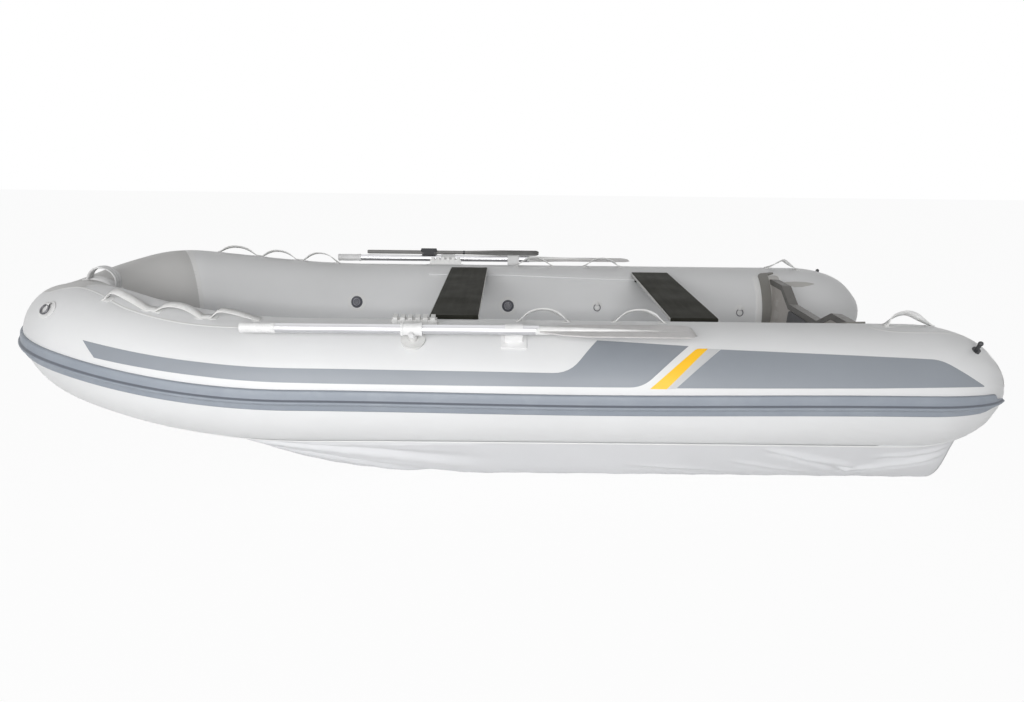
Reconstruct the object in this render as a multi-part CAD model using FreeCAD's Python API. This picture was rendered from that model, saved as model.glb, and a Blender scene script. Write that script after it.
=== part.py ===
import FreeCAD, Part
import math
import os

from FreeCAD import Matrix, Vector

os.makedirs("parts", exist_ok=True)

# An open inflatable boat of 13 ft: two side tubes joined by a raised bow tube, stern cones,
# a raked transom, a fabric bottom with a keel and two runners, an aluminium floor, two seats
# and a pair of oars stowed on the tubes. Millimetres, +X to the bow, +Y to port, +Z up.
# The origin lies on the ground under the middle of the boat.

# Hull sizes
boat_length = 3950.0
tube_radius = 235.0
tube_half_spacing = 625.0
tube_axis_height = 413.0
bow_length = 1303.0
bow_side_pull = 721.0
bow_front_pull = 424.0
bow_rise = 101.0
rise_end_share = 0.655
stem_radius = 161.0
bow_joint_share = 0.48
bow_point_count = 21
bow_section_count = 8
cone_length = 375.0
cone_mid_narrowing = 27.0
cone_late_narrowing = 99.0
cone_tip_radius = 20.0
skin_gap = 0.3

# Rubbing strake
strake_half_angle = 9.0
strake_band = 12.0
strake_ridge = 26.0
ridge_half_angle = 3.2

# Bottom
floor_drop = 150.0
floor_thickness = 12.0
bottom_seam_angle = 67.0
runner_inset = 65.0
runner_side_outset = 15.0
channel_rise = 26.0
channel_half_spacing = 270.0
keel_half_width = 70.0
keel_flat = 4.0
runner_tail_length = 372.0
runner_tail_slant = 63.0
runner_inner_inset = 180.0
bottom_level_back = 772.0
runner_end_ahead = 278.0
keel_rise_back = 322.0
forefoot_slope = 18.0
slope_start_ahead = 538.0
forefoot_end_share = 0.84
straight_section_count = 4
forefoot_section_count = 8

# Transom
transom_ahead = 175.0
transom_thickness = 38.0
transom_rake = 4.0
transom_wing_rise = 202.0
transom_cut_rise = 137.0
cut_half_width = 170.0
wing_shoulder = 130.0
flange_thickness = 9.0
flange_length = 138.0
flange_lead = 63.0
flange_high_angle = 114.0
flange_low_angle = 214.0
trim_wall = 4.0
trim_depth = 22.0
pad_width = 300.0
pad_height = 120.0
pad_thickness = 8.0

# Floor
floor_gap = 60.0
floor_bow_ahead = 518.0
floor_panel_count = 4
joint_bar_width = 36.0
joint_bar_rise = 7.0
stringer_size = 24.0
stringer_wall = 3.0
panel_rib_width = 14.0
panel_rib_rise = 2.5
panel_rib_count = 7

# Seats
front_seat_inset = 82.0
rear_seat_inset = 120.0
seat_width = 187.0
seat_thickness = 16.0
front_seat_back = 561.0
rear_seat_ahead = 599.0
seat_lip_depth = 26.0
seat_lip_width = 16.0
seat_lip_gap = 4.0
rail_width_angle = 10.0
front_rail_angle = 66.5
rear_rail_angle = 60.6
rail_thickness = 7.0
rail_front_ahead = 210.0
rail_rear_behind = 125.0
rail_section_count = 8

# Oars
oar_angle = 56.0
oar_height = 60.0
oar_pin_ahead = 131.0
saddle_length = 400.0
shaft_radius = 17.0
oar_front_length = 608.0
grip_length = 122.0
grip_radius = 18.5
blade_start_back = 450.0
oar_rear_length = 999.0
blade_width = 150.0
blade_thickness = 8.0
blade_roll = 31.5
pin_radius = 6.0
pin_clearance = 0.05
boss_radius = 17.0
boss_height = 24.0
base_radius = 44.0
base_thickness = 9.0
collar_length = 76.0
collar_wall = 5.0
knob_radius = 10.0
rest_length = 165.0
rest_ahead = 4.0
rest_width = 26.0
rest_rise = 38.0
rest_angle = 78.0
rest_rib_count = 6
clip_back = 361.0
clip_length = 63.0
clip_wall = 5.0
clip_clearance = 0.6

# Spare paddle that is clipped on the starboard oar
paddle_front_length = 448.0
paddle_rear_length = 502.0
paddle_blade_back = 89.0
paddle_radius = 10.0
paddle_blade_width = 66.0
paddle_clip_ahead = 106.0
paddle_clip_length = 92.0

# Fittings
valve_radius = 30.0
valve_rise = 9.0
fore_valve_share = 0.004
fore_valve_angle = 160.7
aft_valve_back = 204.0
aft_valve_angle = 163.8
fore_eye_ahead = 277.0
aft_eye_behind = 453.0
fore_eye_angle = 161.5
aft_eye_angle = 165.9
eye_patch_radius = 22.0
eye_ring_radius = 18.0
ring_wire = 3.0
patch_thickness = 2.5
strap_width = 30.0
strap_thickness = 4.0
strap_rise = 45.0
strap_span = 180.0
strap_angle = 93.0
strap_pad_length = 34.0
strap_pad_width = 40.0
stern_strap_ahead = 38.0
aft_strap_ahead = 236.0
middle_strap_back = 341.0
bow_straps = ((0.119, 82.0), (0.2385, 76.0), (0.3575, 74.5))
tow_ring_share = 0.557
tow_ring_angle = 43.0
tow_patch_radius = 46.0
tow_ring_radius = 20.0
tow_ring_wire = 4.0
handle_length = 130.0
handle_angle = 109.0
handle_width = 60.0
handle_thickness = 9.0
handle_rise = 64.0
cleat_back = 200.0
cleat_height = 36.0
cleat_radius = 7.0
cleat_radius_at = 206.0
cleat_angle = 57.0
pin_foot_radius = 15.0
drain_radius = 26.0

# Values that follow
straight_end_x = boat_length / 2 - bow_length
bow_axis_x = boat_length / 2 - stem_radius - strake_ridge
cone_base_x = -boat_length / 2 + cone_length
cone_mid_radius = tube_radius - cone_mid_narrowing
cone_late_radius = tube_radius - cone_late_narrowing
transom_x = cone_base_x + transom_ahead
front_seat_x = straight_end_x - front_seat_back
rear_seat_x = transom_x + rear_seat_ahead
front_seat_half_length = tube_half_spacing - front_seat_inset
rear_seat_half_length = tube_half_spacing - rear_seat_inset
oar_pin_x = front_seat_x + oar_pin_ahead
oar_grip_end_x = oar_pin_x + oar_front_length
blade_start_x = oar_pin_x - blade_start_back
blade_end_x = oar_pin_x - oar_rear_length
clip_x = oar_pin_x - clip_back
paddle_front_x = oar_pin_x + paddle_front_length
paddle_rear_x = oar_pin_x - paddle_rear_length
paddle_blade_x = oar_pin_x - paddle_blade_back
paddle_clip_x = oar_pin_x + paddle_clip_ahead
rail_front_x = front_seat_x + rail_front_ahead
rail_rear_x = rear_seat_x - rail_rear_behind
cleat_x = cone_base_x - cleat_back
floor_stern_x = transom_x + floor_gap
floor_bow_x = straight_end_x + floor_bow_ahead
floor_panel_length = (floor_bow_x - floor_stern_x) / floor_panel_count
floor_joints = [floor_stern_x + floor_panel_length * (i + 1) for i in range(floor_panel_count - 1)]
bottom_level_x = straight_end_x - bottom_level_back
runner_bow_x = straight_end_x + runner_end_ahead
keel_rise_x = straight_end_x - keel_rise_back
slope_start_x = straight_end_x + slope_start_ahead
tail_x = transom_x - runner_tail_length
bottom_stern_x = tail_x - runner_tail_slant
runner_half_spacing = tube_half_spacing - runner_inset
runner_side_spacing = tube_half_spacing + runner_side_outset
runner_inner_spacing = tube_half_spacing - runner_inner_inset
strap_places = (
    cone_base_x + stern_strap_ahead,
    rear_seat_x + aft_strap_ahead,
    front_seat_x - middle_strap_back,
)
floor_top_z = tube_axis_height - floor_drop
bottom_top_z = floor_top_z - floor_thickness
tube_bottom_z = tube_axis_height - tube_radius


def sin(angle):
    return math.sin(math.radians(angle))


def cos(angle):
    return math.cos(math.radians(angle))


def box(x0, x1, y0, y1, z0, z1):
    return Part.makeBox(x1 - x0, y1 - y0, z1 - z0, Vector(x0, y0, z0))


def rod(start, end, radius):
    return Part.makeCylinder(radius, (end - start).Length, start, end - start)


def plate(points, depth):
    wire = Part.makePolygon(points + [points[0]])
    return Part.Face(wire).extrude(depth)


def mirrored(shape):
    return shape.mirror(Vector(0, 0, 0), Vector(0, 1, 0))


def save(name, shapes):
    if isinstance(shapes, Part.Shape):
        shapes = [shapes]
    solids = []
    for shape in shapes:
        solids.extend(shape.Solids)
    if len(solids) == 1:
        result = solids[0]
    else:
        result = Part.makeCompound(solids)
    if not result.isValid():
        print("not valid:", name)
    if any(solid.Volume <= 0 for solid in solids):
        print("inside out:", name)
    result.exportStep("parts/" + name + ".step")


# A smooth step from 0 to 1
def eased(step):
    step = min(max(step, 0.0), 1.0)
    return step * step * (3.0 - 2.0 * step)


# The line that the tube's middle follows round the bow, as a share from the straight to the stem
def bow_point(share):
    t = share
    corners = (
        (straight_end_x, tube_half_spacing),
        (straight_end_x + bow_side_pull, tube_half_spacing),
        (bow_axis_x, bow_front_pull),
        (bow_axis_x, 0.0),
    )
    weights = ((1 - t) ** 3, 3 * (1 - t) ** 2 * t, 3 * (1 - t) * t * t, t ** 3)
    x = sum(w * c[0] for w, c in zip(weights, corners))
    y = sum(w * c[1] for w, c in zip(weights, corners))
    return Vector(x, y, tube_axis_height + bow_rise * eased(t / rise_end_share))


# The tube keeps its thickness to the joint and tapers from there to the stem
def bow_radius(share):
    taper = (share - bow_joint_share) / (1.0 - bow_joint_share)
    return tube_radius - (tube_radius - stem_radius) * eased(taper)


# The share of the bow at which the line passes a length along the boat
def bow_share(x):
    low = 0.0
    high = 1.0
    while high - low > 0.0001:
        middle = (low + high) / 2
        if bow_point(middle).x < x:
            low = middle
        else:
            high = middle
    return low


def bow_tangent(share):
    step = 0.001
    before = bow_point(max(share - step, 0.0))
    after = bow_point(min(share + step, 1.0))
    if share >= 1.0:
        return Vector(0, -1, 0)
    if share <= 0.0:
        return Vector(1, 0, 0)
    return (after - before).normalize()


# One curve runs from the port straight round the stem to the starboard straight. Tube, strake
# and clearance sweeps all follow stretches of it.
bow_points = [bow_point(i / (bow_point_count - 1)) for i in range(bow_point_count)]
for point in reversed(bow_points[:-1]):
    bow_points.append(Vector(point.x, -point.y, point.z))
bow_curve = Part.BSplineCurve()
bow_curve.interpolate(
    Points=bow_points, InitialTangent=Vector(1, 0, 0), FinalTangent=Vector(-1, 0, 0)
)


def bow_stretch(first_point, last_point):
    stretch = bow_curve.copy()
    stretch.segment(bow_curve.parameter(first_point), bow_curve.parameter(last_point))
    return stretch.toShape()


def sweep(edge, profile):
    shell = Part.BRepOffsetAPI.MakePipeShell(Part.Wire([edge]))
    shell.setBiNormalMode(Vector(0, 0, 1))
    shell.add(profile)
    shell.build()
    shell.makeSolid()
    return shell.shape()


# A profile wire stands square to the line in plan: across is level, away from the boat's middle
def ring_wire_at(point, tangent, radius):
    flat = Vector(tangent.x, tangent.y, 0).normalize()
    out = Vector(-flat.y, flat.x, 0) * radius
    up = Vector(0, 0, radius)
    outer_half = Part.Arc(point + up, point + out, point - up).toShape()
    inner_half = Part.Arc(point - up, point - out, point + up).toShape()
    return Part.Wire([outer_half, inner_half])


def strake_wire_at(point, tangent, radius):
    flat = Vector(tangent.x, tangent.y, 0).normalize()
    out = Vector(-flat.y, flat.x, 0)
    up = Vector(0, 0, 1)

    def at(radius, angle):
        return point + out * (radius * cos(angle)) + up * (radius * sin(angle))

    inner = radius - strake_band
    band = radius + strake_band
    ridge = radius + strake_ridge
    edges = [
        Part.Arc(at(inner, -strake_half_angle), at(inner, 0), at(inner, strake_half_angle)).toShape(),
        Part.makeLine(at(inner, strake_half_angle), at(band, strake_half_angle)),
        Part.makeLine(at(band, strake_half_angle), at(band, ridge_half_angle)),
        Part.makeLine(at(band, ridge_half_angle), at(ridge, 0)),
        Part.makeLine(at(ridge, 0), at(band, -ridge_half_angle)),
        Part.makeLine(at(band, -ridge_half_angle), at(band, -strake_half_angle)),
        Part.makeLine(at(band, -strake_half_angle), at(inner, -strake_half_angle)),
    ]
    return Part.Wire(edges)


# A piece made flat about the origin is set on a tube: its +X runs along the tube to the bow
# and its +Z stands out from the skin at an angle above the outward level
def frame_on_tube(middle, tangent, angle, radius):
    flat = Vector(tangent.x, tangent.y, 0).normalize()
    out = Vector(-flat.y, flat.x, 0)
    normal = out * cos(angle) + Vector(0, 0, 1) * sin(angle)
    side = normal.cross(flat)
    foot = middle + normal * radius
    return Matrix(
        flat.x, side.x, normal.x, foot.x,
        flat.y, side.y, normal.y, foot.y,
        flat.z, side.z, normal.z, foot.z,
        0, 0, 0, 1,
    )


def placed_in(frame, shape):
    placed = shape.copy()
    placed.Placement = FreeCAD.Placement(frame).multiply(placed.Placement)
    return placed


def moved_on_side(shape, x, angle):
    middle = Vector(x, tube_half_spacing, tube_axis_height)
    return placed_in(frame_on_tube(middle, Vector(1, 0, 0), angle, tube_radius), shape)


def moved_on_bow(shape, share, angle):
    frame = frame_on_tube(bow_point(share), bow_tangent(share), angle, bow_radius(share))
    return placed_in(frame, shape)


# Tubes
def side_tube(radius, start_x):
    straight = rod(
        Vector(start_x, tube_half_spacing, tube_axis_height),
        Vector(straight_end_x, tube_half_spacing, tube_axis_height),
        radius,
    )
    start = bow_point(0.0)
    bend_line = bow_stretch(start, bow_point(bow_joint_share))
    bend = sweep(bend_line, ring_wire_at(start, Vector(1, 0, 0), radius))
    return straight, bend


# The bow tube is lofted through rings that shrink to the stem and grow again beyond it. Rings
# close to its end keep the loft in line with the swept tube there.
def shares_between(first, last):
    early = [first + (last - first) * step for step in (0.0, 0.015, 0.05)]
    return early + [first + (last - first) * i / bow_section_count for i in range(1, bow_section_count)]


bow_shares = shares_between(bow_joint_share, 1.0) + [1.0]
bend_shares = shares_between(0.0, bow_joint_share)


def bow_tube(extra, shares):
    rings = []
    for share in shares:
        rings.append(ring_wire_at(bow_point(share), bow_tangent(share), bow_radius(share) + extra))
    for share in reversed(shares[:-1]):
        middle = bow_point(share)
        heading = bow_tangent(share)
        rings.append(ring_wire_at(
            Vector(middle.x, -middle.y, middle.z),
            Vector(-heading.x, heading.y, heading.z),
            bow_radius(share) + extra,
        ))
    return Part.makeLoft(rings, True, False)


straight_part, bend_part = side_tube(tube_radius, cone_base_x)
port_tube = straight_part.fuse(bend_part).removeSplitter()
save("port_side_tube", port_tube)
save("starboard_side_tube", mirrored(port_tube))
save("bow_tube", bow_tube(0.0, bow_shares))

# Stern cones turned about the tube's own axis
def cone_profile(extra):
    tip_x = -boat_length / 2
    points = [
        Vector(cone_base_x, tube_radius + extra, 0),
        Vector(cone_base_x - cone_length * 0.50, cone_mid_radius + extra, 0),
        Vector(cone_base_x - cone_length * 0.82, cone_late_radius + extra, 0),
        Vector(tip_x, cone_tip_radius, 0),
    ]
    curve = Part.BSplineCurve()
    curve.interpolate(Points=points, InitialTangent=Vector(-1, 0, 0), FinalTangent=Vector(-0.12, -1, 0))
    return curve


def turned(edges, angle, start_angle):
    face = Part.Face(Part.Wire(edges))
    body = face.revolve(Vector(0, 0, 0), Vector(1, 0, 0), angle)
    body.rotate(Vector(0, 0, 0), Vector(1, 0, 0), start_angle)
    body.translate(Vector(0, tube_half_spacing, tube_axis_height))
    return body


skin = cone_profile(0.0).toShape()
tip = Vector(-boat_length / 2, cone_tip_radius, 0)
cone_edges = [
    skin,
    Part.makeLine(tip, Vector(-boat_length / 2, 0, 0)),
    Part.makeLine(Vector(-boat_length / 2, 0, 0), Vector(cone_base_x, 0, 0)),
    Part.makeLine(Vector(cone_base_x, 0, 0), Vector(cone_base_x, tube_radius, 0)),
]
port_cone = turned(cone_edges, 360, 0)
save("port_stern_cone", port_cone)
save("starboard_stern_cone", mirrored(port_cone))

# What lies on a tube or a cone is cut with a slightly larger one
cone_skin = cone_profile(skin_gap)
skin_start = cone_skin.value(cone_skin.FirstParameter)
skin_end = cone_skin.value(cone_skin.LastParameter)
clear_cone = turned([
    cone_skin.toShape(),
    Part.makeLine(skin_end, Vector(-boat_length / 2, 0, 0)),
    Part.makeLine(Vector(-boat_length / 2, 0, 0), Vector(cone_base_x, 0, 0)),
    Part.makeLine(Vector(cone_base_x, 0, 0), skin_start),
], 360, 0)
clear_straight, clear_bend = side_tube(tube_radius + skin_gap, cone_base_x)
clear_stern = [clear_straight, mirrored(clear_straight), clear_cone, mirrored(clear_cone)]
clear_tubes = clear_stern + [clear_bend, mirrored(clear_bend), bow_tube(skin_gap, bow_shares)]


def clear_of_tubes(shape):
    for tube in clear_tubes:
        shape = shape.cut(tube)
    return shape


# Rubbing strakes: a band with a ridge along the outside of the tube and over the cone
def cone_strip(inner, outer, half_angle, share):
    low = cone_profile(inner)
    high = cone_profile(outer)
    for curve in (low, high):
        start = curve.FirstParameter
        curve.segment(start, start + share * (curve.LastParameter - start))
    low_end = low.value(low.LastParameter)
    high_end = high.value(high.LastParameter)
    low_start = low.value(low.FirstParameter)
    high_start = high.value(high.FirstParameter)
    edges = [
        low.toShape(),
        Part.makeLine(low_end, high_end),
        high.toShape(),
        Part.makeLine(high_start, low_start),
    ]
    return turned(edges, 2 * half_angle, -half_angle)


straight_face = Part.Face(strake_wire_at(
    Vector(cone_base_x, tube_half_spacing, tube_axis_height), Vector(1, 0, 0), tube_radius
))
strake_straight = straight_face.extrude(Vector(straight_end_x - cone_base_x, 0, 0))
strake_bend = sweep(
    bow_stretch(bow_point(0.0), bow_point(bow_joint_share)),
    strake_wire_at(bow_point(0.0), Vector(1, 0, 0), tube_radius),
)
strake_bow = Part.makeLoft(
    [strake_wire_at(bow_point(share), bow_tangent(share), bow_radius(share)) for share in bow_shares],
    True, False,
)
strake_tail = cone_strip(skin_gap, strake_band, strake_half_angle, 0.86)
ridge_tail = cone_strip(skin_gap, strake_ridge - 6.0, ridge_half_angle * 0.5, 0.80)
port_strake = strake_straight.fuse([strake_bend, strake_bow, strake_tail, ridge_tail])
port_strake = clear_of_tubes(port_strake)
port_strake = max(port_strake.Solids, key=lambda solid: solid.Volume)
save("port_rubbing_strake", port_strake)
save("starboard_rubbing_strake", mirrored(port_strake))


# Bottom: one section drawn across the boat, run straight aft and lofted up to the bow
def bottom_section(x, low, top, runner_drop, keel_drop, spread):
    seam_y = tube_half_spacing + tube_radius * cos(bottom_seam_angle) - 8.0
    half = [
        (0.0, low - keel_drop),
        (keel_half_width * spread, low - keel_drop + keel_flat),
        (channel_half_spacing * spread, low - runner_drop + channel_rise * runner_drop / tube_bottom_z),
        ((runner_half_spacing - 70.0) * spread, low - runner_drop + 3.0),
        (runner_half_spacing * spread, low - runner_drop),
        (runner_side_spacing * spread, low - runner_drop * 0.62),
        (seam_y * spread, low + 12.0),
        (tube_half_spacing * spread, top),
    ]
    lower = [Vector(x, -y, z) for y, z in reversed(half)]
    lower = lower + [Vector(x, y, z) for y, z in half[1:]]
    curve = Part.BSplineCurve()
    curve.interpolate(Points=lower)
    return Part.Wire([curve.toShape(), Part.makeLine(lower[-1], lower[0])])


def forefoot_section(x, share):
    middle = bow_point(share)
    low = middle.z - bow_radius(share)
    top = bottom_top_z + 20.0 + max(x - slope_start_x, 0.0) * math.tan(math.radians(forefoot_slope))
    runner_share = min(max((x - bottom_level_x) / (runner_bow_x - bottom_level_x), 0.0), 1.0)
    runner_drop = max(tube_bottom_z * (1.0 - runner_share ** 3), 4.0)
    keel_share = eased((x - keel_rise_x) / (bow_axis_x - keel_rise_x))
    keel_drop = max(tube_bottom_z * (1.0 - 1.10 * keel_share), 6.0)
    return bottom_section(x, low, top, runner_drop, keel_drop, middle.y / tube_half_spacing)


aft_face = Part.Face(bottom_section(
    bottom_stern_x, tube_bottom_z, bottom_top_z + 20.0, tube_bottom_z, tube_bottom_z, 1.0
))
bottom = aft_face.extrude(Vector(bottom_level_x - bottom_stern_x, 0, 0))
sections = []
for i in range(straight_section_count):
    x = bottom_level_x + (straight_end_x - bottom_level_x) * i / straight_section_count
    sections.append(forefoot_section(x, 0.0))
for i in range(forefoot_section_count + 1):
    share = forefoot_end_share * i / forefoot_section_count
    sections.append(forefoot_section(bow_point(share).x, share))
forefoot = Part.makeLoft(sections, True, False)
bottom = bottom.fuse(forefoot)
for tube in clear_stern + [bow_tube(2 * skin_gap, bend_shares + bow_shares)]:
    bottom = bottom.cut(tube)
bottom = bottom.cut(box(
    bottom_stern_x - 50.0, transom_x - 60.0,
    -runner_inner_spacing, runner_inner_spacing,
    -50.0, tube_axis_height,
))


# Cuts seen from the side: what is above the floor, and the slant of the tails
def side_cut(points):
    return plate([Vector(x, -boat_length, z) for x, z in points], Vector(0, 2 * boat_length, 0))


slope_end_z = bottom_top_z + (boat_length / 2 - slope_start_x) * math.tan(math.radians(forefoot_slope))
bottom = bottom.cut(side_cut([
    (-boat_length, bottom_top_z), (slope_start_x, bottom_top_z), (boat_length / 2, slope_end_z),
    (boat_length / 2, boat_length), (-boat_length, boat_length),
]))
bottom = bottom.cut(side_cut([
    (tail_x, 0.0), (tail_x - 2 * runner_tail_slant, 2 * tube_bottom_z), (-boat_length, 2 * tube_bottom_z),
    (-boat_length, -50.0), (tail_x, -50.0),
]))
bottom = bottom.cut(side_cut([
    (-boat_length, 0.0), (boat_length, 0.0), (boat_length, -tube_axis_height), (-boat_length, -tube_axis_height),
]))
bottom = max(bottom.Solids, key=lambda solid: solid.Volume)
save("fabric_bottom", bottom)


# Transom: made upright with its forward face at x = 0, then raked and set in place
def raked(shape):
    placed = shape.copy()
    placed.rotate(Vector(0, 0, bottom_top_z), Vector(0, 1, 0), -transom_rake)
    placed.translate(Vector(transom_x, 0, 0))
    return placed


wing_z = tube_axis_height + transom_wing_rise
cut_z = tube_axis_height + transom_cut_rise
wing_y = tube_half_spacing - 120.0
board_base = bottom_top_z + 6.0
board_outline = [
    (-wing_y, board_base),
    (wing_y, board_base),
    (wing_y, wing_z - 12.0),
    (wing_y - 40.0, wing_z),
    (cut_half_width + wing_shoulder, wing_z),
    (cut_half_width, cut_z),
    (-cut_half_width, cut_z),
    (-cut_half_width - wing_shoulder, wing_z),
    (-wing_y + 40.0, wing_z),
    (-wing_y, wing_z - 12.0),
]


def upright_plate(outline, x0, x1):
    return plate([Vector(x0, y, z) for y, z in outline], Vector(x1 - x0, 0, 0))


seat_radius = tube_radius + skin_gap + flange_thickness
flange_bore = rod(
    Vector(-boat_length, tube_half_spacing, tube_axis_height),
    Vector(0, tube_half_spacing, tube_axis_height),
    seat_radius,
)
flange_bores = flange_bore.fuse(mirrored(flange_bore))
board = raked(upright_plate(board_outline, -transom_thickness, 0.0)).cut(flange_bores)
save("transom_board", board)

# The edge trim is a channel over the board's top edge
top_line = board_outline[2:]
trim_outer = []
for y, z in top_line:
    trim_outer.append((y, z + trim_wall))
trim_inner = []
for y, z in reversed(top_line):
    trim_inner.append((y, z - trim_depth))
trim = upright_plate(trim_outer + trim_inner, -transom_thickness - trim_wall, trim_wall)
trim = trim.cut(upright_plate(board_outline, -transom_thickness, 0.0))
trim = raked(trim).cut(flange_bores)
save("transom_edge_trim", trim)

# Motor pads on both faces, under the trim
pad_top = cut_z - trim_depth - 2.0


def pad_solid(x0, x1):
    pad = box(x0, x1, -pad_width / 2, pad_width / 2, pad_top - pad_height, pad_top)
    upright = [edge for edge in pad.Edges if abs(edge.Vertexes[0].Point.x - edge.Vertexes[1].Point.x) > 1.0]
    return pad.makeFillet(14.0, upright)


save("outer_motor_pad", raked(pad_solid(-transom_thickness - pad_thickness, -transom_thickness)))
save("inner_motor_pad", raked(pad_solid(0.0, pad_thickness)))

# Flanges glued to the tubes carry the board
flange_fore_x = transom_x + flange_lead


def strip_face(x, inner, outer, low_angle, high_angle):
    def at(radius, angle):
        return Vector(x, tube_half_spacing + radius * cos(angle), tube_axis_height + radius * sin(angle))

    middle = (low_angle + high_angle) / 2
    return Part.Wire([
        Part.Arc(at(inner, low_angle), at(inner, middle), at(inner, high_angle)).toShape(),
        Part.makeLine(at(inner, high_angle), at(outer, high_angle)),
        Part.Arc(at(outer, high_angle), at(outer, middle), at(outer, low_angle)).toShape(),
        Part.makeLine(at(outer, low_angle), at(inner, low_angle)),
    ])


port_flange = Part.Face(strip_face(
    flange_fore_x - flange_length,
    tube_radius + skin_gap, tube_radius + flange_thickness,
    flange_high_angle, flange_low_angle,
)).extrude(Vector(flange_length, 0, 0))
save("port_transom_flange", port_flange)
save("starboard_transom_flange", mirrored(port_flange))

# Drain plug low on the board's aft face
drain = Part.makeCylinder(drain_radius, 6.0, Vector(-transom_thickness - 6.0, 0, 0), Vector(1, 0, 0))
drain = drain.fuse(Part.makeCylinder(14.0, 12.0, Vector(-transom_thickness - 18.0, 0, 0), Vector(1, 0, 0)))
drain.translate(Vector(0, 0, board_base + 46.0))
save("transom_drain_plug", raked(drain))


# Floor panels with raised treads, joined by bars, edged by two stringers
def floor_half_width(drop):
    return tube_half_spacing - math.sqrt((tube_radius + skin_gap) ** 2 - drop ** 2)


panel_half = min(floor_half_width(floor_drop), floor_half_width(floor_drop + floor_thickness)) - 0.5


def floor_panel(x0, x1):
    panel = box(x0, x1, -panel_half, panel_half, bottom_top_z, floor_top_z)
    pitch = (panel_half - 60.0) * 2 / panel_rib_count
    for i in range(panel_rib_count):
        y = -panel_half + 60.0 + pitch * (i + 0.5)
        rib = box(
            x0 + 30.0, x1 - 30.0,
            y - panel_rib_width / 2, y + panel_rib_width / 2,
            floor_top_z - 1.0, floor_top_z + panel_rib_rise,
        )
        panel = panel.fuse(rib)
    return panel.removeSplitter()


panel_names = ("floor_panel_stern", "floor_panel_middle", "floor_panel_fore")
panel_start = floor_stern_x
for name, panel_end in zip(panel_names, floor_joints):
    save(name, floor_panel(panel_start, panel_end))
    panel_start = panel_end
bow_panel = clear_of_tubes(box(panel_start, floor_bow_x, -panel_half, panel_half, bottom_top_z, floor_top_z))
save("floor_panel_bow", bow_panel)

bars = []
for joint_x in floor_joints:
    bars.append(box(
        joint_x - joint_bar_width / 2, joint_x + joint_bar_width / 2,
        -panel_half + stringer_size + 26.0, panel_half - stringer_size - 26.0,
        floor_top_z, floor_top_z + joint_bar_rise,
    ))
save("floor_joint_bars", bars)

stringer_outer = floor_half_width(floor_drop - stringer_size) - 2.0
port_stringer = box(
    floor_stern_x + 20.0, panel_start - 30.0,
    stringer_outer - stringer_size, stringer_outer,
    floor_top_z, floor_top_z + stringer_size,
)
port_stringer = port_stringer.cut(box(
    floor_stern_x + 10.0, panel_start - 20.0,
    stringer_outer - stringer_size - 1.0, stringer_outer - stringer_wall,
    floor_top_z + stringer_wall, floor_top_z + stringer_size - stringer_wall,
))
save("port_floor_stringer", port_stringer)
save("starboard_floor_stringer", mirrored(port_stringer))


# Seats rest across the rails, with lips that keep them between the tubes. The rail's top edge
# lies lower on the tube at the rear seat than at the front one.
def seat(middle_x, half_length, rail_angle):
    rail_radius = tube_radius + skin_gap + rail_thickness
    bottom_z = tube_axis_height + rail_radius * sin(rail_angle) + skin_gap
    plank = box(
        middle_x - seat_width / 2, middle_x + seat_width / 2,
        -half_length, half_length,
        bottom_z, bottom_z + seat_thickness,
    )
    along = [edge for edge in plank.Edges if edge.BoundBox.YLength > 10.0]
    plank = plank.makeFillet(4.0, along)
    lip_outer = tube_half_spacing - rail_radius * cos(rail_angle - rail_width_angle) - seat_lip_gap
    for side in (1, -1):
        y0 = side * lip_outer
        y1 = side * (lip_outer - seat_lip_width)
        plank = plank.fuse(box(
            middle_x - seat_width / 2 + 12.0, middle_x + seat_width / 2 - 12.0,
            min(y0, y1), max(y0, y1),
            bottom_z - seat_lip_depth, bottom_z + 1.0,
        ))
    for rib_x in (middle_x - seat_width / 4, middle_x + seat_width / 4):
        plank = plank.fuse(box(
            rib_x - 6.0, rib_x + 6.0,
            -lip_outer + seat_lip_width, lip_outer - seat_lip_width,
            bottom_z - 14.0, bottom_z + 1.0,
        ))
    return plank.removeSplitter()


save("front_seat", seat(front_seat_x, front_seat_half_length, front_rail_angle))
save("rear_seat", seat(rear_seat_x, rear_seat_half_length, rear_rail_angle))

turn_start_x = rear_seat_x + seat_width
turn_end_x = front_seat_x - seat_width
rail_places = [(rail_rear_x, rear_rail_angle)]
for i in range(rail_section_count + 1):
    share = i / rail_section_count
    rail_places.append((
        turn_start_x + (turn_end_x - turn_start_x) * share,
        rear_rail_angle + (front_rail_angle - rear_rail_angle) * share,
    ))
rail_places.append((rail_front_x, front_rail_angle))
rail_sections = []
for x, angle in rail_places:
    rail_sections.append(strip_face(
        x, tube_radius + skin_gap, tube_radius + skin_gap + rail_thickness,
        180.0 - angle, 180.0 - angle + rail_width_angle,
    ))
port_rail = Part.makeLoft(rail_sections, True, True)
save("port_seat_rail", port_rail)
save("starboard_seat_rail", mirrored(port_rail))

# Rowlock base: a saddle on the tube with a boss that takes the rowlock's pin
tube_in_place = Part.makeCylinder(
    tube_radius + skin_gap, saddle_length, Vector(-saddle_length / 2, 0, -tube_radius), Vector(1, 0, 0)
)
base = Part.makeCylinder(base_radius, base_thickness + 8.0, Vector(0, 0, -8.0))
base = base.fuse(Part.makeCylinder(boss_radius, boss_height, Vector(0, 0, 0)))
base = base.cut(tube_in_place)
base = base.cut(Part.makeCylinder(pin_radius + pin_clearance, boss_height, Vector(0, 0, 4.0)))
port_base = moved_on_side(base, oar_pin_x, oar_angle)

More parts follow.
